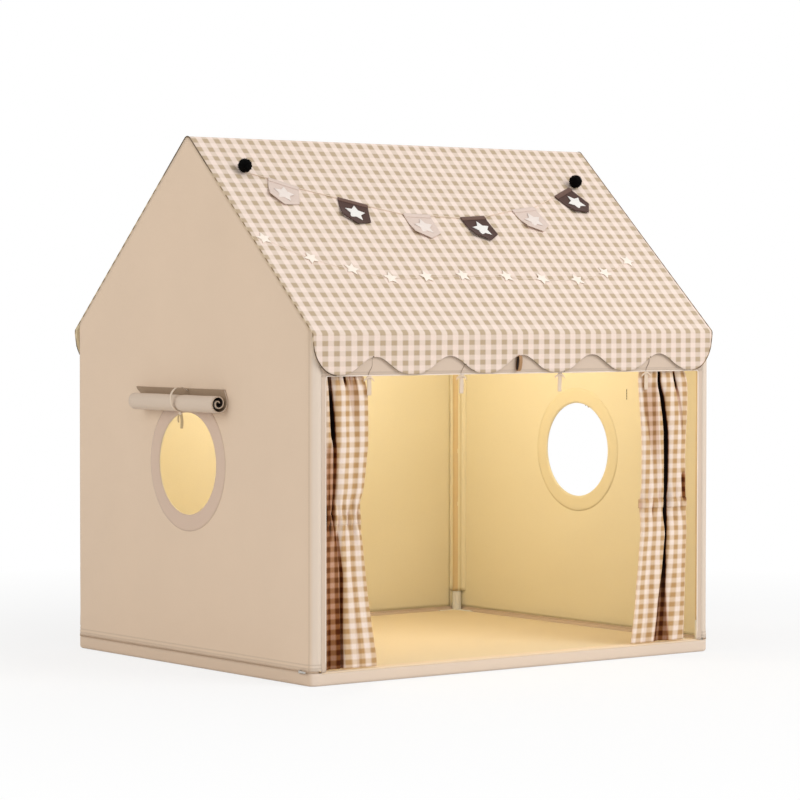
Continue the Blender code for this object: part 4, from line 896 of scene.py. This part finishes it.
def roll_tie(side, sx):
    """The ribbon round a rolled cover: part of a circle, with a knot and two tails under the roll."""
    body, middle = f"{side}_cover_roll", HALF_W + ROLL_OUT
    sweep = np.radians(np.linspace(136.0, -130.0, 64))
    slant = -TIE_Y + 0.0055 * np.maximum(np.sin(sweep), 0.0) - 0.0025 * np.minimum(np.sin(sweep), 0.0)
    line = grid(sx * (middle + TIE_R * np.cos(sweep)), slant, TIE_Z + TIE_R * np.sin(sweep))
    loop = ribbon_sheet(f"{side}_tie_loop", line, (0, 1, 0), 0.0068, tie_ribbon, 0.0012)
    wear(loop, body, "pale_ribbon", f"{side}_roll_tie")
    knot_z = TIE_Z - TIE_R - KNOT_R
    centre, radii = (sx * middle, 0.0025 - TIE_Y, knot_z), (sx * KNOT_R, 0.0052, KNOT_R)
    knot = ball_knot(f"{side}_tie_knot", centre, radii, tie_ribbon, 15, 25, ridges=0.10)
    wear(knot, body, "pale_ribbon")
    fall = np.linspace(0, 1, 24)
    cut = 1.0 if sx < 0 else 0.3
    twist = grid(0.8 * sx * np.cos(1.2 * fall), 1.0, 0.0)
    for name, shift, length, width in (("short", 1, 0.022, 0.0038), ("long", -1, 0.036, 0.0074)):
        x = sx * (middle + shift * 0.002 * np.sin(math.pi * fall))
        y = 0.0035 - TIE_Y + shift * (0.0030 + 0.0035 * fall)
        line = grid(x, y, knot_z - cut * length * fall)
        tail = ribbon_sheet(f"{side}_tie_{name}_tail", line, twist, width, tie_tail, 0.0009)
        wear(tail, body, "pale_ribbon")


# Each curtain's outline: rows of a height and its outer and inner edge in metres from the middle
LEFT_EDGES = (
    (0.034, 0.5591, 0.4168), (0.057, 0.5591, 0.4185), (0.103, 0.5591, 0.4267), (0.149, 0.5591, 0.4344),
    (0.195, 0.5591, 0.4415), (0.240, 0.5591, 0.4475), (0.286, 0.5591, 0.4534), (0.332, 0.5580, 0.4580),
    (0.371, 0.5562, 0.4612), (0.412, 0.5575, 0.4588), (0.439, 0.5588, 0.4505), (0.477, 0.5591, 0.4460),
    (0.535, 0.5591, 0.4400), (0.649, 0.5591, 0.4408), (0.670, 0.5591, 0.4435), (0.690, 0.5591, 0.4485),
    (0.707, 0.5591, 0.4535),
)
RIGHT_EDGES = (
    (0.034, 0.5275, 0.3560), (0.089, 0.5298, 0.3655), (0.131, 0.5315, 0.3708), (0.172, 0.5330, 0.3738),
    (0.214, 0.5343, 0.3786), (0.255, 0.5352, 0.3812), (0.297, 0.5362, 0.3860), (0.371, 0.5345, 0.3898),
    (0.422, 0.5315, 0.3911), (0.484, 0.5305, 0.3911), (0.547, 0.5330, 0.3896), (0.588, 0.5360, 0.3864),
    (0.630, 0.5365, 0.3825), (0.667, 0.5358, 0.3800), (0.690, 0.5300, 0.3840), (0.707, 0.5240, 0.3885),
)
# Its deep folds, each as rows of a height, the fold's place and half width as shares of the
# curtain's width, and its depth as a share, which also sets the painted shade in the fold
LEFT_FOLDS = (
    (
        (0.707, 0.12, 0.08, 0.62), (0.690, 0.12, 0.07, 0.90), (0.665, 0.13, 0.075, 0.90),
        (0.641, 0.15, 0.080, 1.0), (0.608, 0.175, 0.085, 1.0), (0.581, 0.19, 0.085, 1.0),
        (0.559, 0.205, 0.080, 1.0), (0.546, 0.23, 0.060, 0.90), (0.530, 0.26, 0.05, 0.74),
        (0.480, 0.28, 0.05, 0.66), (0.420, 0.28, 0.05, 0.64), (0.385, 0.22, 0.05, 0.60),
        (0.350, 0.20, 0.05, 0.0),
    ),
    (
        (0.560, 0.15, 0.10, 0.0), (0.530, 0.15, 0.15, 0.50), (0.470, 0.16, 0.18, 0.60),
        (0.400, 0.15, 0.18, 0.66), (0.360, 0.13, 0.17, 0.66), (0.330, 0.17, 0.21, 0.60),
        (0.250, 0.20, 0.25, 0.62), (0.150, 0.20, 0.24, 0.68), (0.090, 0.18, 0.22, 0.73),
        (0.034, 0.17, 0.21, 0.75),
    ),
    (
        (0.360, 0.32, 0.03, 0.0), (0.330, 0.38, 0.045, 0.60), (0.250, 0.45, 0.055, 0.74),
        (0.150, 0.43, 0.055, 0.78), (0.034, 0.38, 0.055, 0.80),
    ),
    (
        (0.707, 0.47, 0.04, 0.80), (0.695, 0.48, 0.045, 1.0), (0.683, 0.485, 0.04, 0.70),
        (0.668, 0.50, 0.035, 0.35), (0.640, 0.52, 0.03, 0.15), (0.600, 0.55, 0.03, 0.0),
    ),
    (
        (0.707, 0.66, 0.14, 0.42), (0.660, 0.66, 0.13, 0.42), (0.600, 0.70, 0.09, 0.32),
        (0.550, 0.74, 0.06, 0.20), (0.420, 0.76, 0.05, 0.15), (0.300, 0.70, 0.05, 0.25),
        (0.034, 0.66, 0.05, 0.30),
    ),
)
RIGHT_FOLDS = (
    (
        (0.707, 0.590, 0.050, 0.95), (0.671, 0.565, 0.050, 1.0), (0.630, 0.495, 0.057, 1.0),
        (0.588, 0.460, 0.055, 1.0), (0.547, 0.427, 0.070, 1.0), (0.505, 0.425, 0.080, 1.0),
        (0.422, 0.432, 0.088, 1.0), (0.380, 0.442, 0.080, 1.0), (0.297, 0.436, 0.042, 1.0),
        (0.255, 0.447, 0.046, 1.0), (0.214, 0.447, 0.070, 0.96), (0.172, 0.457, 0.094, 0.90),
        (0.131, 0.460, 0.130, 0.82), (0.089, 0.450, 0.148, 0.78), (0.034, 0.440, 0.178, 0.76),
    ),
    (
        (0.707, 0.25, 0.04, 0.35), (0.690, 0.240, 0.040, 0.80), (0.675, 0.23, 0.045, 1.0),
        (0.655, 0.215, 0.04, 0.88), (0.640, 0.20, 0.035, 0.55), (0.610, 0.17, 0.035, 0.42),
        (0.560, 0.12, 0.035, 0.38), (0.500, 0.08, 0.03, 0.0),
    ),
    (
        (0.455, 0.05, 0.03, 0.0), (0.440, 0.05, 0.05, 0.64), (0.425, 0.04, 0.06, 0.74),
        (0.385, 0.03, 0.06, 0.70), (0.362, 0.03, 0.04, 0.0),
    ),
    (
        (0.690, 0.76, 0.14, 0.10), (0.655, 0.78, 0.16, 0.40), (0.600, 0.78, 0.18, 0.48),
        (0.530, 0.74, 0.15, 0.44), (0.470, 0.70, 0.10, 0.30), (0.410, 0.68, 0.08, 0.18),
        (0.250, 0.74, 0.06, 0.14), (0.034, 0.76, 0.06, 0.22),
    ),
)


def curtain_span(z, edges):
    """Outer and inner edge at height z, read between the rows and averaged over 16 mm of height."""
    level, outer, inner = np.array(edges).T
    near = np.linspace(-0.008, 0.008, 9)
    return [np.mean([np.interp(z + step, level, edge) for step in near], axis=0) for edge in (outer, inner)]


def with_fold_shade(made, depth):
    """Keeps each point's painted fold shade, 0 to 1, for the cloth's finish to darken it by."""
    layer = made.data.attributes.new("fold", "FLOAT", "POINT")
    layer.data.foreach_set("value", np.asarray(depth, np.float32).ravel())


def curtain_shape(c, z, edges, folds, seed):
    """A gathered curtain as (x, y, painted fold shade) over c, its width from 0 to 1, and height z.

    A front plane with folds, each y += depth x exp(-t^2), where t is the distance from the fold's
    line in half widths. The cloth at both sides is drawn over the fold by t^3 exp(-t^2). Small
    gathers, sine waves, fill in at the rod and the waist.
    """
    outer, inner = curtain_span(z, edges)
    inside = ease(np.minimum(c, 1 - c) / 0.10)
    waist = np.exp(-(((z - WAIST_Z) / 0.045) ** 2))
    head = np.exp(-(((CURTAIN_HEAD - z) / 0.035) ** 2))
    turn = 2 * math.pi
    y = CURTAIN_Y + 0.0042 * head + 0.0030 * waist
    y = y + 0.0013 * np.sin(turn * (2.6 * c + 1.3 * z + seed)) + 0.0010 * np.sin(24 * z + 9 * c + seed)
    across = c + 0.006 * np.sin(turn * (3 * c + 2.1 * z))
    # Painted fold shade: a faint random base, raised in each fold, in the waist's gathers and in the puckers at
    # the rod.
    fold_shade = 0.07 + 0.05 * swell(c * 0.12, z, 91 + seed, 0.07)
    for rows in folds:
        level, line, width, depth = (np.array(column) for column in zip(*rows[::-1]))
        half, size = np.interp(z, level, width), np.interp(z, level, depth)
        t = (c - np.interp(z, level, line)) / half
        y = y + FOLD_DEPTH * inside * size * size * (1 - 0.6 * head) * np.exp(-t * t)
        across = across - 0.7 * inside * half * size * t**3 * np.exp(-t * t)
        fold_shade = np.maximum(fold_shade, size * ease((1.22 - np.abs(t)) / 0.42))
    gather = 0.0020 * waist * np.sin(turn * (8.0 * c + 5.0 * (z - WAIST_Z)) + seed)
    gather = gather + 0.0018 * waist * np.sin(turn * (4.6 * c - 9.0 * (z - WAIST_Z)) + 2 * seed)
    pucker = np.sin(turn * 7.5 * c + seed + 5 * z)
    y = np.clip(y + gather + 0.0024 * head * pucker, *CURTAIN_DEPTH)
    y = np.where(np.abs(z - WAIST_Z) < 0.012, np.clip(y, -0.4945, -0.4602), y)
    edge = np.clip(np.minimum(c, 1 - c) / 0.05, 0, 1)
    y = y + 0.0060 * (1 - np.sqrt(1 - (1 - edge) ** 2))
    x = outer + (inner - outer) * np.clip(across, 0, 1)
    fold_shade = fold_shade + 100 * np.clip(gather, 0, 0.004) + 0.35 * head * head * np.clip(pucker, 0, 1)
    return np.broadcast_arrays(x, y, np.clip(fold_shade, 0, 1))


def curtain(side, sx, edges, folds, seed):
    """A curtain, whose cloth place is its mean length over the folds, with its casing and tie-back."""
    c = np.linspace(0, 1, 261)[None, :]
    below = np.linspace(CURTAIN_FOOT + 0.0006, WAIST_Z, 70)
    z = np.concatenate([below, np.linspace(WAIST_Z, CURTAIN_HEAD, 71)[1:]])[:, None]
    x, y, fold_shade = curtain_shape(c, z, edges, folds, seed)
    points = grid(sx * x, y, z)
    steps = np.linalg.norm(np.diff(points, axis=1), axis=2)[10:130]
    flat_width = float(np.mean(steps.sum(axis=1)))
    cloth_x = np.concatenate([[0.0], np.cumsum(steps.mean(axis=0))])
    place = grid(cloth_x, z - 0.0021 * sx)
    made = surface(f"{side}_curtain_cloth", points, curtain_check, place)
    with_fold_shade(made, fold_shade)
    thicken(made, 0.0014, offset=0.0).modifiers[0].use_even_offset = False
    wear(made, f"{side}_curtain_body", "curtain_gingham", f"{side}_curtain")
    curtain_casing(side, sx, edges, seed)
    tie_back(side, sx, edges, folds, seed, cloth_x)


def curtain_casing(side, sx, edges, seed):
    """The casing on the rod: a tube that puckers by sin(700 x), most on its side to the room."""
    head_outer, head_inner = edges[-1][1:]
    run = np.linspace(head_outer - 0.001, head_inner + 0.001, 90)[:, None]
    turns = np.linspace(0, 2 * math.pi, 25)
    puff = 0.0068 + 0.0011 * np.sin(run * 700 + seed) * (0.6 + 0.4 * np.cos(turns))
    points = grid(sx * run, -POST_Y + puff * np.cos(turns), ROD_Z + puff * np.sin(turns))
    place, away = grid(run * 1.2, turns * 0.0075), (sx * 0.5, -POST_Y, ROD_Z)
    casing = surface(f"{side}_curtain_casing", points, curtain_check, place, away=away, welded=True)
    thicken(casing, 0.0012)
    wear(casing, f"{side}_curtain_body", "curtain_gingham")


def tie_back(side, sx, edges, folds, seed, cloth_x):
    """The band round the waist: 1.4 mm off the curtain's own folds in front, and straight behind it."""
    height = np.linspace(-TIE_BACK_HALF, TIE_BACK_HALF, 13)[:, None]
    c = np.linspace(0, 1, 221)[None, :]
    level = WAIST_Z + height + 0.0010 * np.sin(7 * c + seed)
    x, y, fold_shade = curtain_shape(c, level, edges, folds, seed)
    y = np.minimum(y - 0.0014 + 0.0008 * (height / TIE_BACK_HALF) ** 4, -0.4640)
    outer, inner = x[:, :1] - 0.0012, x[:, -1:] + 0.0012
    low, high = outer + 0.80 * (inner - outer), outer + 0.12 * (inner - outer)
    first, last = y[:, :1] + 0.0045, y[:, -1:] + 0.0045
    behind = np.full_like(outer, -0.4570)
    x = np.concatenate([outer, x, inner, low, high, outer], axis=1)
    y = np.concatenate([first, y, last, behind - 0.010, behind, first], axis=1)
    level, fold_shade = (
        np.concatenate([rows[:, :1], rows] + [rows[:, -1:]] * 3 + [rows[:, :1]], axis=1)
        for rows in (level, fold_shade)
    )
    u = np.interp(c[0], np.linspace(0, 1, 261), cloth_x)
    u = np.concatenate([[-0.004], u, u[-1] + np.array([0.004, 0.05, 0.11, 0.14])])
    place, away = grid(u, level - 0.0021 * sx), (sx * 0.5, -0.4772, WAIST_Z)
    band = surface(f"{side}_tie_back_cloth", grid(sx * x, y, level), curtain_check, place, away=away)
    with_fold_shade(band, fold_shade)
    weld(band)
    thicken(band, 0.0011, offset=1.0).modifiers[0].use_even_offset = False
    wear(band, f"{side}_curtain_body", "curtain_gingham", f"{side}_tie_back")


def header_ribbons():
    """Ribbons sewn into the header's hem, each a small drooping bow and a tail.

    The bow is an arc z = -drop x |share|^1.6, and a dark thread on the header above it bends down to it:
    painted shadow, a line where the ribbon's edge casts its shadow on the header.
    """
    for i, x in enumerate((-0.4439, -0.1773, 0.1203, 0.3947)):
        fall = np.linspace(0, 1, 40)
        line = grid(x + 0.0010 * np.sin(3.0 * fall + i) * fall, -0.4990, HEAD_Z + 0.003 - 0.048 * fall)
        tail = ribbon_sheet(f"header_ribbon_{i + 1}", line, (1, 0, 0), 0.0118, ribbon, 0.0007)
        wear(tail, "house", "pale_ribbon", *(("header_ribbons",) if i == 0 else ()))
        share = np.linspace(-1, 1, 25)
        z = HEAD_Z - 0.0035 - 0.0085 * np.abs(share) ** 1.6
        line = grid(x + 0.0150 * share, -0.5002 - 0.0012 * np.cos(math.pi * share), z)
        bow = ribbon_sheet(f"header_ribbon_bow_{i + 1}", line, (0, 0.25, 1), 0.0052, ribbon, 0.0007)
        wear(bow, "house", "pale_ribbon")
        t = np.linspace(0, 1, 30)
        across = x + 0.0075 - 0.0105 * ease((t - 0.45) / 0.55)
        line = grid(across, -HALF_D - 0.0008, HEAD_Z + 0.042 - 0.041 * t)
        # Painted shadow: a thin dark cord where the ribbon's edge casts its shadow on the header.
        thread = cord_tube(f"header_thread_{i + 1}", line, 0.0005, ribbon_shadow_thread, sides=6)
        wear(thread, "house", "pale_ribbon")
        centre = (x + 0.0075, -0.5065, float(valance_edge(x + 0.0075)) + 0.0008)
        radii = (0.0013, 0.0009, 0.0013)
        knot = ball_knot(f"header_thread_knot_{i + 1}", centre, radii, dark_thread_and_edge_shade, 9, 17, pole=0.05)
        wear(knot, "house", "pale_ribbon")


def strap_loop():
    """The leather strap on the header: an upright loop, an ellipse squared a little at its sides."""
    middle = (-0.012, -0.5085, HEAD_Z + 0.0232)
    turn = np.linspace(0, 2 * math.pi, 65)[:, None]
    x = np.linspace(-0.0045, 0.0045, 5) - 0.0105 - 0.0020 * (1 - np.cos(turn))
    y = middle[1] - 0.0068 * np.sign(np.sin(turn)) * np.abs(np.sin(turn)) ** 0.8
    points = grid(x, y, middle[2] + 0.0182 * np.cos(turn))
    strap = surface("strap_loop_leather", points, leather, away=middle, welded=True)
    # Inside, the painted shade; on the rim, the leather.
    thicken(strap, 0.0018, strap_inside_shade, leather)
    wear(strap, "house", "brown_leather", "strap_loop")


def bar_tack():
    """The dark row of stitches that holds the rolled cover's inner tie on the right wall."""
    line = grid(HALF_W - CLOTH - 0.0007, -0.1935, np.linspace(0.614, 0.641, 30))
    tack = cord_tube("right_wall_bar_tack", line, 0.0007, dark_thread_and_edge_shade, sides=8, lump=0.3)
    wear(tack, "house", "beige_cloth")


# Each pennant's top edge on the front slope: its middle's x, how far down the slope, its tilt in degrees
PENNANTS = (
    (-0.4188, 0.1701, 24.6), (-0.2494, 0.2317, 19.6), (-0.0819, 0.2737, 2.1),
    (0.0872, 0.2783, -4.8), (0.2690, 0.2425, -9.0), (0.4378, 0.1743, -26.8),
)
POMPOMS, POMPOM_R = ((-0.5147, 0.1304), (0.4906, 0.1492)), 0.0176
PENNANT_W, PENNANT_H, PENNANT_STRAIGHT = 0.078, 0.088, 0.066
# The star lights' places in the same way
STARS = (
    (-0.575, 0.369), (-0.477, 0.435), (-0.380, 0.471), (-0.284, 0.501), (-0.176, 0.495), (-0.064, 0.490),
    (0.068, 0.492), (0.175, 0.500), (0.284, 0.503), (0.390, 0.476), (0.492, 0.432),
)


def star_outline(radius, inner, points=5):
    """A star's corners, one point upwards on the slope."""
    angle = np.arange(2 * points) * math.pi / points
    size = radius * np.where(np.arange(2 * points) % 2, inner, 1.0)
    return size * np.sin(angle), -size * np.cos(angle)


def puffed_star(name, x, s, radius, inner, low, high, finish, turn=0.0):
    """A star with a domed face: rings of its outline that shrink as they rise."""
    u, v = star_outline(radius, inner)
    u, v = np.append(u, u[0]), np.append(v, v[0])
    u, v = u * math.cos(turn) - v * math.sin(turn), u * math.sin(turn) + v * math.cos(turn)
    sizes = np.array([0.94, 1.0, 1.0, 0.93, 0.70, 0.35, 0.06])[:, None]
    lifts = low + (high - low) * np.array([0.0, 0.12, 0.35, 0.62, 0.86, 0.97, 1.0])[:, None]
    points = on_slope(x + sizes * u, s + sizes * v, lifts)
    return outward(surface(name, points, finish, caps=(0, -1), welded=True))


def pennant(i, x0, s0, tilt):
    """A felt pennant: a pentagon over (across, down), turned by its tilt, its lower left corner curled."""
    half, length, straight = PENNANT_W / 2, PENNANT_H, PENNANT_STRAIGHT
    u = np.linspace(-half, half, 27)[None, :]
    t = np.linspace(0, 1, 31)[:, None]
    v = t * (straight + (length - straight) * (1 - np.abs(u) / half))

    def placed(u, v, lift):
        x = x0 + u * math.cos(tilt) - v * math.sin(tilt)
        return on_slope(x, s0 + u * math.sin(tilt) + v * math.cos(tilt), lift)

    curl = 0.0007 + 0.0060 * ease((t - 0.45) / 0.55) * ease(0.5 - u / (2 * half))
    lift = np.maximum(curl + 0.0009 * swell(u, v, 61 + i, 0.09) * t, 0.0007)
    slot, away = "pale_felt" if i % 2 else "brown_felt", (0, 0, 0.7)
    felts = (pale_felt, pale_felt, pale_patch) if i % 2 else (brown_felt, brown_band, white_patch)
    cloth, band, star = felts
    made = surface(f"pennant_felt_{i}", placed(u, v, lift), cloth, grid(u, v), away=away)
    thicken(made, 0.0012, offset=1.0)
    wear(made, "house", slot, f"pennant_{i}")
    t = np.linspace(0, 1, 7)[:, None]
    folded = placed(u * 1.01, -0.0008 + 0.0125 * t, 0.0021 + 0.0006 * np.sin(math.pi * t))
    fold = surface(f"pennant_fold_{i}", folded, band, grid(u, v)[:7], away=away)
    thicken(fold, 0.0010, offset=1.0)
    wear(fold, "house", slot)
    down = 0.046
    middle = x0 - down * math.sin(tilt), s0 + down * math.cos(tilt)
    patch = puffed_star(
        f"pennant_star_{i}", *middle, radius=0.0275, inner=0.52, low=0.0030, high=0.0060, finish=star, turn=tilt
    )
    wear(patch, "house", slot)


def pompom(name, centre, radius, seed):
    """A ball of wool: a core with thin tapered strands that stand out from it every way."""
    count = 1500
    k = np.arange(count) + 0.5
    way = on_ball(np.arccos(1 - 2 * k / count), math.pi * (1 + 5**0.5) * k)
    dice = np.random.default_rng(seed)
    way += dice.normal(0, 0.08, way.shape)
    way /= np.linalg.norm(way, axis=1, keepdims=True)
    side = np.cross(way, [0.3, 0.5, 0.81])
    side /= np.linalg.norm(side, axis=1, keepdims=True)
    other = np.cross(way, side)
    tips = centre + way * radius * dice.uniform(0.90, 1.02, (count, 1))
    tips += 0.0008 * dice.normal(0, 1, way.shape)
    root = centre + way * radius * 0.72
    roots = [root + 0.0011 * (side * math.cos(a) + other * math.sin(a)) for a in (0, 2.1, 4.2)]
    strands = np.stack([*roots, tips], axis=1).reshape(-1, 3)
    faces = np.array([[0, 1, 3], [1, 2, 3], [2, 0, 3], [2, 1, 0]]) + 4 * np.arange(count)[:, None, None]
    fall, turn = np.linspace(0, math.pi, 13)[:, None], np.linspace(0, 2 * math.pi, 25)[:-1]
    core = (centre + 0.88 * radius * on_ball(fall, turn)).reshape(-1, 3)
    quads = ring_faces(4 * count + np.arange(13 * 24).reshape(13, 24))
    faces = faces.reshape(-1, 3).tolist() + quads.tolist()
    made = outward(weld(add_mesh(name, np.concatenate([strands, core]), faces, black_wool), 1e-7))
    wear(made, "house", "black_wool")


def garland():
    """The cord from pompom to pompom through the pennants' top hems, and six pennants."""
    knots = [POMPOMS[0]]
    for i, (x0, s0, tilt) in enumerate(PENNANTS):
        tilt = math.radians(tilt)
        reach = np.array([math.cos(tilt), math.sin(tilt)]) * PENNANT_W / 2
        knots += [(x0, s0) - reach, (x0, s0) + reach]
        pennant(i + 1, x0, s0, tilt)
    knots = np.array(knots + [POMPOMS[1]]) + [0, 0.0012]
    line = at_runs(knots, np.linspace(0, run_along(knots)[-1], 260))
    for _ in range(6):
        line[1:-1] = (line[:-2] + 2 * line[1:-1] + line[2:]) / 4
    line = on_slope(*line.T, 0.0014)
    cord = cord_tube("garland_cord_twine", line, 0.0009, garland_twine, sides=8, lump=0.12)
    wear(cord, "house", "pale_ribbon", "garland_cord")
    for name, spot, seed in (("left_pompom", POMPOMS[0], 71), ("right_pompom", POMPOMS[1], 72)):
        pompom(name, on_slope(*spot, POMPOM_R), POMPOM_R, seed)


def star_lights():
    """Star lights: eleven domed stars on a thin wire that dips a little between each two of them."""
    spots, index = np.linspace(0, len(STARS) - 1, 201), np.arange(len(STARS))
    x, s = (np.interp(spots, index, column) for column in np.array(STARS).T)
    line = on_slope(x, s + 0.004 * np.abs(np.sin(math.pi * spots)), 0.0009)
    wear(cord_tube("star_wire", line, 0.0005, wire_plastic, sides=6), "house", "star_plastic", "star_lights")
    dice = np.random.default_rng(81)
    for i, spot in enumerate(STARS):
        star = puffed_star(
            f"star_light_{i + 1}", *spot, radius=0.021, inner=0.48, low=0.0004, high=0.0032,
            finish=star_plastic, turn=dice.uniform(-0.5, 0.5),
        )
        wear(star, "house", "star_plastic")


def hard_parts():
    """Coats the poles, connectors, rod and zip metal, which stay as they are."""
    coats = {"connector": moulded, "slider": nickel, "pull": nickel}
    coats |= dict.fromkeys(("post", "rafter", "rail", "pole", "rod"), pole_coat)
    for name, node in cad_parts.items():
        finish = coats.get(name.split("_")[-1])
        if finish:
            node.data.materials.clear()
            node.data.materials.append(finish)


def aim_camera():
    """The camera as fitted to the tent's corners in the photograph: place, yaw, pitch, roll, lens."""
    yaw, pitch, roll = (math.radians(v) for v in (37.3210, 1.7770, 0.0600))
    ahead = Vector((math.sin(yaw) * math.cos(pitch), math.cos(yaw) * math.cos(pitch), -math.sin(pitch)))
    right = ahead.cross(Vector((0, 0, 1))).normalized()
    turn = Matrix((right, right.cross(ahead), -ahead)).transposed().to_4x4()
    lens = bpy.data.cameras.new("camera")
    lens.sensor_width, lens.lens = 36.0, 138.45
    lens.clip_start, lens.clip_end = 0.1, 200.0
    camera = bpy.data.objects.new("camera", lens)
    place = Matrix.Translation((-4.6006, -6.0668, 0.8552))
    camera.matrix_world = place @ turn @ Matrix.Rotation(roll, 4, "Z")
    bpy.context.scene.collection.objects.link(camera)
    bpy.context.scene.camera = camera


def area_lamp(name, place, target, size, power, colour=(1.0, 1.0, 1.0)):
    """A square soft lamp that faces the target."""
    data = bpy.data.lights.new(name, "AREA")
    data.shape, data.size, data.energy, data.color = "SQUARE", size, power, colour
    lamp = bpy.data.objects.new(name, data)
    lamp.location = place
    lamp.rotation_euler = (Vector(target) - Vector(place)).to_track_quat("-Z", "Y").to_euler()
    bpy.context.scene.collection.objects.link(lamp)


def studio():
    """A white floor and surround, soft lamps at a plain level, and a small warm lamp in the tent."""
    bpy.context.scene.view_settings.view_transform = "Standard"
    world = bpy.data.worlds.new("surround")
    world.use_nodes = True
    bpy.context.scene.world = world
    nodes, links = world.node_tree.nodes, world.node_tree.links
    light, seen = nodes["Background"], nodes.new("ShaderNodeBackground")
    light.inputs[0].default_value, light.inputs[1].default_value = (1.0, 0.985, 0.965, 1), 0.62
    seen.inputs[0].default_value, seen.inputs[1].default_value = (1, 1, 1, 1), 1.0
    path, mix = nodes.new("ShaderNodeLightPath"), nodes.new("ShaderNodeMixShader")
    either = nodes.new("ShaderNodeMath")
    either.operation, either.use_clamp = "ADD", True
    links.new(path.outputs["Is Camera Ray"], either.inputs[0])
    links.new(path.outputs["Is Glossy Ray"], either.inputs[1])
    links.new(either.outputs[0], mix.inputs[0])
    links.new(light.outputs[0], mix.inputs[1])
    links.new(seen.outputs[0], mix.inputs[2])
    links.new(mix.outputs[0], nodes["World Output"].inputs[0])

    finish = Finish("white_floor", roughness=0.95)
    finish.paint((0.86, 0.86, 0.86))
    glow = finish.step("ShaderNodeEmission", {"Color": (1, 1, 1, 1), "Strength": 1.0})
    camera_ray = finish.step("ShaderNodeLightPath")
    place = finish.object_place()
    away = finish.step("ShaderNodeVectorMath", {0: place}, out=1, operation="LENGTH")
    fade = finish.spread(away, 0.9, 2.6, 0.74, 1.0)
    share = finish.sum("MULTIPLY", camera_ray, fade)
    both = finish.step("ShaderNodeMixShader", {0: share, 1: finish.shader.outputs[0], 2: glow})
    finish.links.new(both, finish.nodes["Material Output"].inputs[0])
    corners = [(x, y, -0.0006) for x, y in ((-40, -40), (40, -40), (40, 40), (-40, 40))]
    add_mesh("floor", corners, [(0, 1, 2, 3)], finish.material)

    area_lamp("key", (1.6, -4.2, 3.6), (0, 0, 0.6), 3.0, 120)
    area_lamp("left_fill", (-4.6, 0.2, 2.2), (0, 0, 0.6), 3.0, 56)
    data = bpy.data.lights.new("tent_lamp", "POINT")
    data.energy, data.color, data.shadow_soft_size = 7.2, (1.0, 0.95, 0.86), 0.14
    lamp = bpy.data.objects.new("tent_lamp", data)
    lamp.location = (0.0, 0.02, 0.86)
    lamp.visible_camera = False
    bpy.context.scene.collection.objects.link(lamp)


def main():
    """Sets the camera, makes every piece in turn and lights the room."""
    aim_camera()
    for side, sx in (("left", -1), ("right", 1)):
        gable_wall(side, sx)
        window_facing(side, sx)
        window_cover(side, sx)
        roll_tie(side, sx)
    roof_cloth()
    straight_walls()
    doorway_piping()
    ground_sheet()
    floor_mat()
    door_sill()
    zip_round_base()
    curtain("left", -1, LEFT_EDGES, LEFT_FOLDS, 1)
    curtain("right", 1, RIGHT_EDGES, RIGHT_FOLDS, 2)
    header_ribbons()
    strap_loop()
    bar_tack()
    garland()
    star_lights()
    hard_parts()
    studio()


main()
